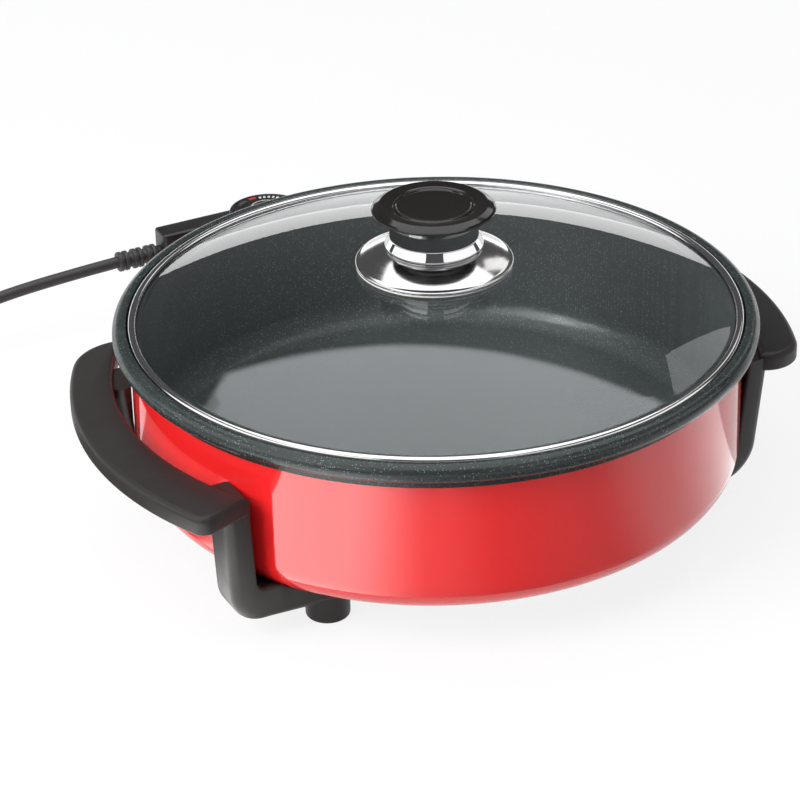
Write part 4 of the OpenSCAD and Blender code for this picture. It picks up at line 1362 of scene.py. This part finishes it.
@dataclass
class Lid:
    """Pressed glass dome with a rolled steel band."""

    dome_r: float = 148.6
    dome_top: float = 136.2
    dome_ball: float = 422.4
    glass_t: float = 4.2
    glass_r: float = 153.7
    glass_z: float = 105.0
    hole_r: float = 4.0
    lid_r: float = 154.4
    lid_z: float = 104.3
    band_t: float = 0.6
    band_lip: float = 4.8

    def dome(self, ball: float, r0: float, r1: float, steps: int) -> list[Pair]:
        """Points of a ball's section between two radii.

        Args:
            ball: Radius of the ball.
            r0: First radius.
            r1: Last radius.
            steps: Number of spans.

        Returns:
            The points.
        """
        low = self.dome_top - self.dome_ball
        rows = [r0 + (r1 - r0) * i / steps for i in range(steps + 1)]
        return [(r, low + math.sqrt(ball * ball - r * r)) for r in rows]

    def build(self) -> None:
        """Make the glass and its band, and dress the soft ring."""
        top, bend, ball = self.glass_z + self.glass_t, self.dome_r - 8.0, self.dome_ball - self.glass_t
        outside = self.dome(self.dome_ball, self.hole_r, self.dome_r - 1.0, 40)
        outside += rounded(
            [
                (*outside[-1], 0), (self.dome_r, top, 2.5), (self.glass_r, top, 0.6),
                (self.glass_r, self.glass_z, 0.6), (self.dome_r - 1.5, self.glass_z, 7.0),
                (*self.dome(ball, 0, bend, 1)[-1], 0),
            ],
        )[1:]
        inside = self.dome(ball, bend, self.hole_r, 40)[1:]
        shape = Shape().lathe(outside + inside, closed=True, turns=256)
        settle(shape.object("glass_dome", [GLASS], 50), Body.LID, ["lid_glass"])
        self.band()
        dress(SILICONE, "plate_gasket")

    def band(self) -> None:
        """Steel band rolled round the glass's edge, with a half-round top."""
        t, roll = self.band_t, self.band_lip / 2
        high = self.lid_z + self.glass_t + 1.4
        middle = (self.lid_r - roll, high - roll + 0.6)
        over, under = arc(middle, roll, 0, 172, 20), arc(middle, roll - t, 172, 0, 20)
        inner, outer = self.lid_r - self.band_lip, self.lid_r
        section = over + under + rounded(
            [
                (outer - t, high - roll, 0), (outer - t, self.lid_z + t, 1.0), (inner, self.lid_z + t, 0.2),
                (inner, self.lid_z, 0.25), (outer, self.lid_z, 1.6), (outer, high - roll, 0),
            ],
        )
        shape = Shape().lathe(section, closed=True, turns=256)
        settle(shape.object("rim_band", [STAINLESS], 30), Body.LID, ["lid_band"])


@dataclass
class Knob:
    """Lid knob: steel plate, chrome collar and black grip."""

    plate_r: float = 39.5
    plate_ball: float = 76.4
    plate_top: float = 147.35
    plate_rise: float = 11.0
    plate_t: float = 1.2
    hole_r: float = 4.0
    collar_r: float = 22.75
    collar_z: float = 143.4
    collar_top: float = 160.85
    knob_r: float = 31.0
    knob_top: float = 166.85
    stem_r: float = 7.0
    screw_r: float = 2.6
    screw_up: float = 11.0

    def plate(self) -> None:
        """Domed plate with a rolled edge."""
        low = self.plate_top - self.plate_ball
        rows = [self.hole_r + (self.plate_r - 1.2 - self.hole_r) * i / 24 for i in range(25)]
        over = [(r, low + math.sqrt(self.plate_ball**2 - r * r)) for r in rows]
        ball = self.plate_ball - self.plate_t
        under = [(r, low + math.sqrt(ball**2 - r * r)) for r in reversed(rows[:-1])]
        roll = arc((self.plate_r - 1.0, self.plate_top - self.plate_rise - 0.25), 0.95, 75, -170, 14)
        shape = Shape().lathe(over + roll + under, closed=True)
        settle(shape.object("steel_plate", [STAINLESS], 30), Body.LID, ["knob_plate"])

    def collar(self) -> None:
        """Waisted sleeve with a flared foot."""
        foot_r, z0, z1 = self.collar_r + 1.9, self.collar_z, self.collar_top
        waist = self.collar_r - 0.6
        section = [(self.collar_r - 3.0, z0 + 0.7)]
        section += rounded(
            [
                (self.collar_r - 1.0, z0 + 0.3, 0), (foot_r - 0.3, z0 + 0.5, 0.7), (foot_r, z0 + 2.6, 0.7),
                (waist, z0 + 6.5, 1.6), (waist, z1 - 3.0, 4.0), (self.collar_r, z1 - 0.2, 0),
            ],
        )
        section += [(self.collar_r - 0.2, z1), (self.collar_r - 3.0, z1)]
        shape = Shape().lathe(section, closed=True)
        settle(shape.object("chrome_collar", [CHROME], 40), Body.LID, ["knob_collar"])

    def grip(self) -> None:
        """Flared black grip with a bevel, a dish and an inner ring."""
        top, r = self.knob_top, self.knob_r
        rim, dish = top - 2.8, r * 0.66
        seat, foot = self.collar_top + 0.1, self.plate_top + 0.1
        section = rounded(
            [
                (self.screw_r, foot, 0), (self.stem_r, foot, 0.4), (self.stem_r, seat, 0.6),
                (self.collar_r + 0.4, seat, 0.3), (r - 3.4, seat + 1.5, 5.0), (r - 0.2, rim - 0.7, 0.7),
                (r, rim + 0.3, 0.7), (r - 1.2, rim + 1.2, 0.8), (r - 4.2, top, 1.2),
                (dish + 1.2, top - 0.7, 2.0), (dish, top - 1.1, 0.4), (dish - 0.7, top - 0.45, 0.5),
                (dish - 1.6, top - 0.45, 0.5), (dish - 2.3, top - 1.2, 0.5), (dish * 0.5, top - 1.35, 0),
                (0, top - 1.4, 0),
            ],
        )
        core = [(r, self.plate_top + self.screw_up) for r in (0.0, self.screw_r)]
        shape = Shape().lathe(core + section)
        settle(shape.object("black_grip", [PHENOLIC], 40), Body.LID, ["knob_grip"])

    def build(self) -> None:
        """Make the knob and dress its fasteners."""
        self.plate()
        self.collar()
        self.grip()
        dress(SILICONE, "knob_seal")
        dress(ZINC, "knob_washer", "knob_screw")


@dataclass
class Control:
    """Plug-in thermostat control with its dial."""

    dial: Pair = (22.0, 247.0)
    head_r: float = 25.0
    arm_y: Pair = (256.2, 271.2)
    arm_end: float = -39.5
    seam_z: float = 31.0
    case_top: float = 53.0
    neck: tuple[Pair, Pair] = ((-28.0, 186.0), (28.0, 247.0))
    neck_top: float = 41.0
    wall: float = 2.5
    bush_r: float = 5.1
    lens: Pair = (0.0, 210.0)
    lens_r: float = 3.1
    cord: Pair = (263.7, 40.0)
    cord_hole_r: float = 4.1
    dial_r: float = 22.0
    dial_z: float = 53.8
    dial_h: float = 6.0
    hub_r: float = 10.1
    hub_h: float = 1.6
    print_z: Pair = (-0.05, 0.04)
    flutes: int = 36

    def outline(self, inset: float) -> list[Pair]:
        """Arm and round head as one outline, drawn in by inset.

        Args:
            inset: Distance inside the full outline.

        Returns:
            Its points.
        """
        r = self.head_r - inset
        low, high = self.arm_y[0] + inset, self.arm_y[1] - inset
        end, inner = self.arm_end + inset, self.dial[0] - self.head_r - 1
        first = 180 - math.degrees(math.asin((low - self.dial[1]) / r))
        last = 360 + 180 - math.degrees(math.asin((high - self.dial[1]) / r))
        corner = max(0.3, 2.0 - inset)
        arm = rounded(
            [(inner, high, 0), (end, high, corner), (end, low, corner), (inner, low, 0)], steps=5
        )[1:-1]
        return arm + arc(self.dial, r, first, last, 72)

    def box(self, inset: float) -> list[Pair]:
        """Outline of the neck, drawn in by inset.

        Args:
            inset: Distance inside the full outline.

        Returns:
            Its points.
        """
        (x0, y0), (x1, y1) = self.neck
        x0, y0, x1, y1 = x0 + inset, y0 + inset, x1 - inset, y1
        r = max(0.3, 3.0 - inset)
        return rounded([(x0, y0, r), (x1, y0, r), (x1, y1, 0), (x0, y1, 0)], closed=True)

    def block(
        self, name: str, outline: Callable[[float], list[Pair]], top: float, wall: float = 0.0,
    ) -> Item:
        """Raise an outline from the seam to a top, or the hollow that leaves a wall inside it.

        Args:
            name: Name of the object.
            outline: Gives the outline drawn in by a distance.
            top: Height of the outside.
            wall: Thickness of the wall, or 0 for the outside itself.

        Returns:
            The new object.
        """
        low, edge = (self.seam_z - 1, 0.3) if wall else (self.seam_z, 1.6)
        shape = Shape().slab(lambda inset: outline(inset + wall), low, top - wall, edge)
        return shape.object(name, [HOUSING])

    def upper(self) -> None:
        """Upper half of the housing, hollow, with its holes."""
        case = self.block("upper_housing", self.outline, self.case_top)
        carve(case, self.block("neck_tool", self.box, self.neck_top), join=True)
        carve(case, self.block("hollow_tool", self.outline, self.case_top, self.wall))
        carve(case, self.block("hollow_tool", self.box, self.neck_top, self.wall))
        for r, low, high, centre in (
            (self.bush_r, self.seam_z, 60.0, self.dial), (self.lens_r, self.seam_z + 1, 50.0, self.lens),
        ):
            hole = [(0.0, low), (r, low), (r, high), (0.0, high)]
            carve(case, Shape().lathe(hole, turns=48, centre=centre).object("hole_tool", [HOUSING]))
        r = self.cord_hole_r
        side = Shape().lathe([(0.0, -1.0), (r, -1.0), (r, 4.0), (0.0, 4.0)], turns=48)
        side.moved(lambda p: (self.arm_end + p[2], self.cord[0] + p[0], self.cord[1] + p[1]))
        carve(case, side.object("hole_tool", [HOUSING]))
        settle(case, Body.CONTROL, ["upper_case"])

    def knob(self) -> None:
        """Fluted dial with a raised hub."""
        per, high = 10, self.dial_z + self.dial_h

        def ring(r: float, z: float, depth: float) -> list[Triple]:
            """Circle with flutes of a depth."""
            out = []
            for k in range(self.flutes * per):
                turn = (k % per) / per - 0.5
                dip = depth * math.cos(math.pi * turn) ** 2 if abs(turn) < 0.32 else 0.0
                x, y = polar(r - dip, 360 * k / (self.flutes * per))
                out.append((self.dial[0] + x, self.dial[1] + y, z))
            return out

        r, hub, groove = self.dial_r, self.hub_r, high - 0.35
        fluted = [
            (r - 0.3, self.dial_z, 0.5), (r, self.dial_z + 0.3, 0.6), (r, high - 1.6, 0.6),
            (r - 0.15, high - 1.1, 0.35),
        ]
        face = arc((r - 1.2, high - 1.2), 1.2, 30, 90, 5)
        face += [(r - 2.2, high), (r - 2.5, groove), (r - 2.9, groove), (r - 3.2, high), (hub + 1.0, high)]
        face += arc((hub + 0.6, high + 0.6), 0.6, 270, 180, 4)
        face += arc((hub - 0.8, high + self.hub_h - 0.8), 0.8, 0, 90, 5)
        face.append((4.0, high + self.hub_h))
        shape = Shape().loft([ring(*level) for level in fluted] + [ring(*level, 0.0) for level in face])
        settle(shape.object("fluted_dial", [DIAL], 30), Body.DIAL, ["dial"])
        self.marks(high)

    def marks(self, high: float) -> None:
        """Printed marks on the dial's face: a coloured block, pale bars and a ring.

        Args:
            high: Height of the face.
        """
        rows: list[tuple[str, Finish, list[tuple[float, float, float, float]]]] = [
            ("red_block_print", INK_RED, [(16.0, 18.7, 87.0, 101.0)]),
            ("pale_bar_prints", INK_WHITE, [(15.4, 17.8, a - 2.4, a + 2.4) for a in range(79, -155, -9)]),
            ("grey_bar_prints", INK_GREY, [(15.8, 18.2, a - 2.0, a + 2.0) for a in (113, 119, 125, 131)]),
            ("hub_ring_print", INK_WHITE, [(self.hub_r - 1.5, self.hub_r - 1.0, 0.0, 359.9)]),
        ]
        for name, ink, patches in rows:
            shape = Shape()
            for r0, r1, a0, a1 in patches:
                steps = max(3, round(abs(a1 - a0) / 3))
                z = high + (self.hub_h if r1 < self.hub_r else 0.0)
                edge = arc(self.dial, r0, a0, a1, steps) + arc(self.dial, r1, a1, a0, steps)
                shape.loft([[(x, y, z + rise) for x, y in edge] for rise in self.print_z])
            settle(shape.object(name, [ink]), Body.DIAL)

    def build(self) -> None:
        """Make the housing and the dial, and dress the works."""
        self.upper()
        self.knob()
        dress(HOUSING, "lower_case", "cord_clamp")
        dress(PHENOLIC, "contact_block")
        dress(BRASS, "contact_tubes", "bus_bars", "contact_leaves", "spindle_bush")
        dress(NICKEL, "probe_tube")
        dress(ZINC, "thermostat_bracket", "case_screws", "dial_spindle")
        dress(LENS, "pilot_lens")
        dress(LAMP_GLASS, "pilot_lamp")


def main() -> None:
    """Build the studio and the skillet's sub-assemblies in order."""
    logging.basicConfig(level=logging.INFO, format="%(message)s")
    PhotoCamera().build()
    CordSet().build()
    Studio().build()
    for part in (Pan(), Handles(), Lid(), Knob(), Control()):
        part.build()
    boxes = {"cad": CAD_BOX, "visual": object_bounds()}
    {name: [list(corner) for corner in box] for name, box in boxes.items()}


if __name__ == "__main__":
    main()
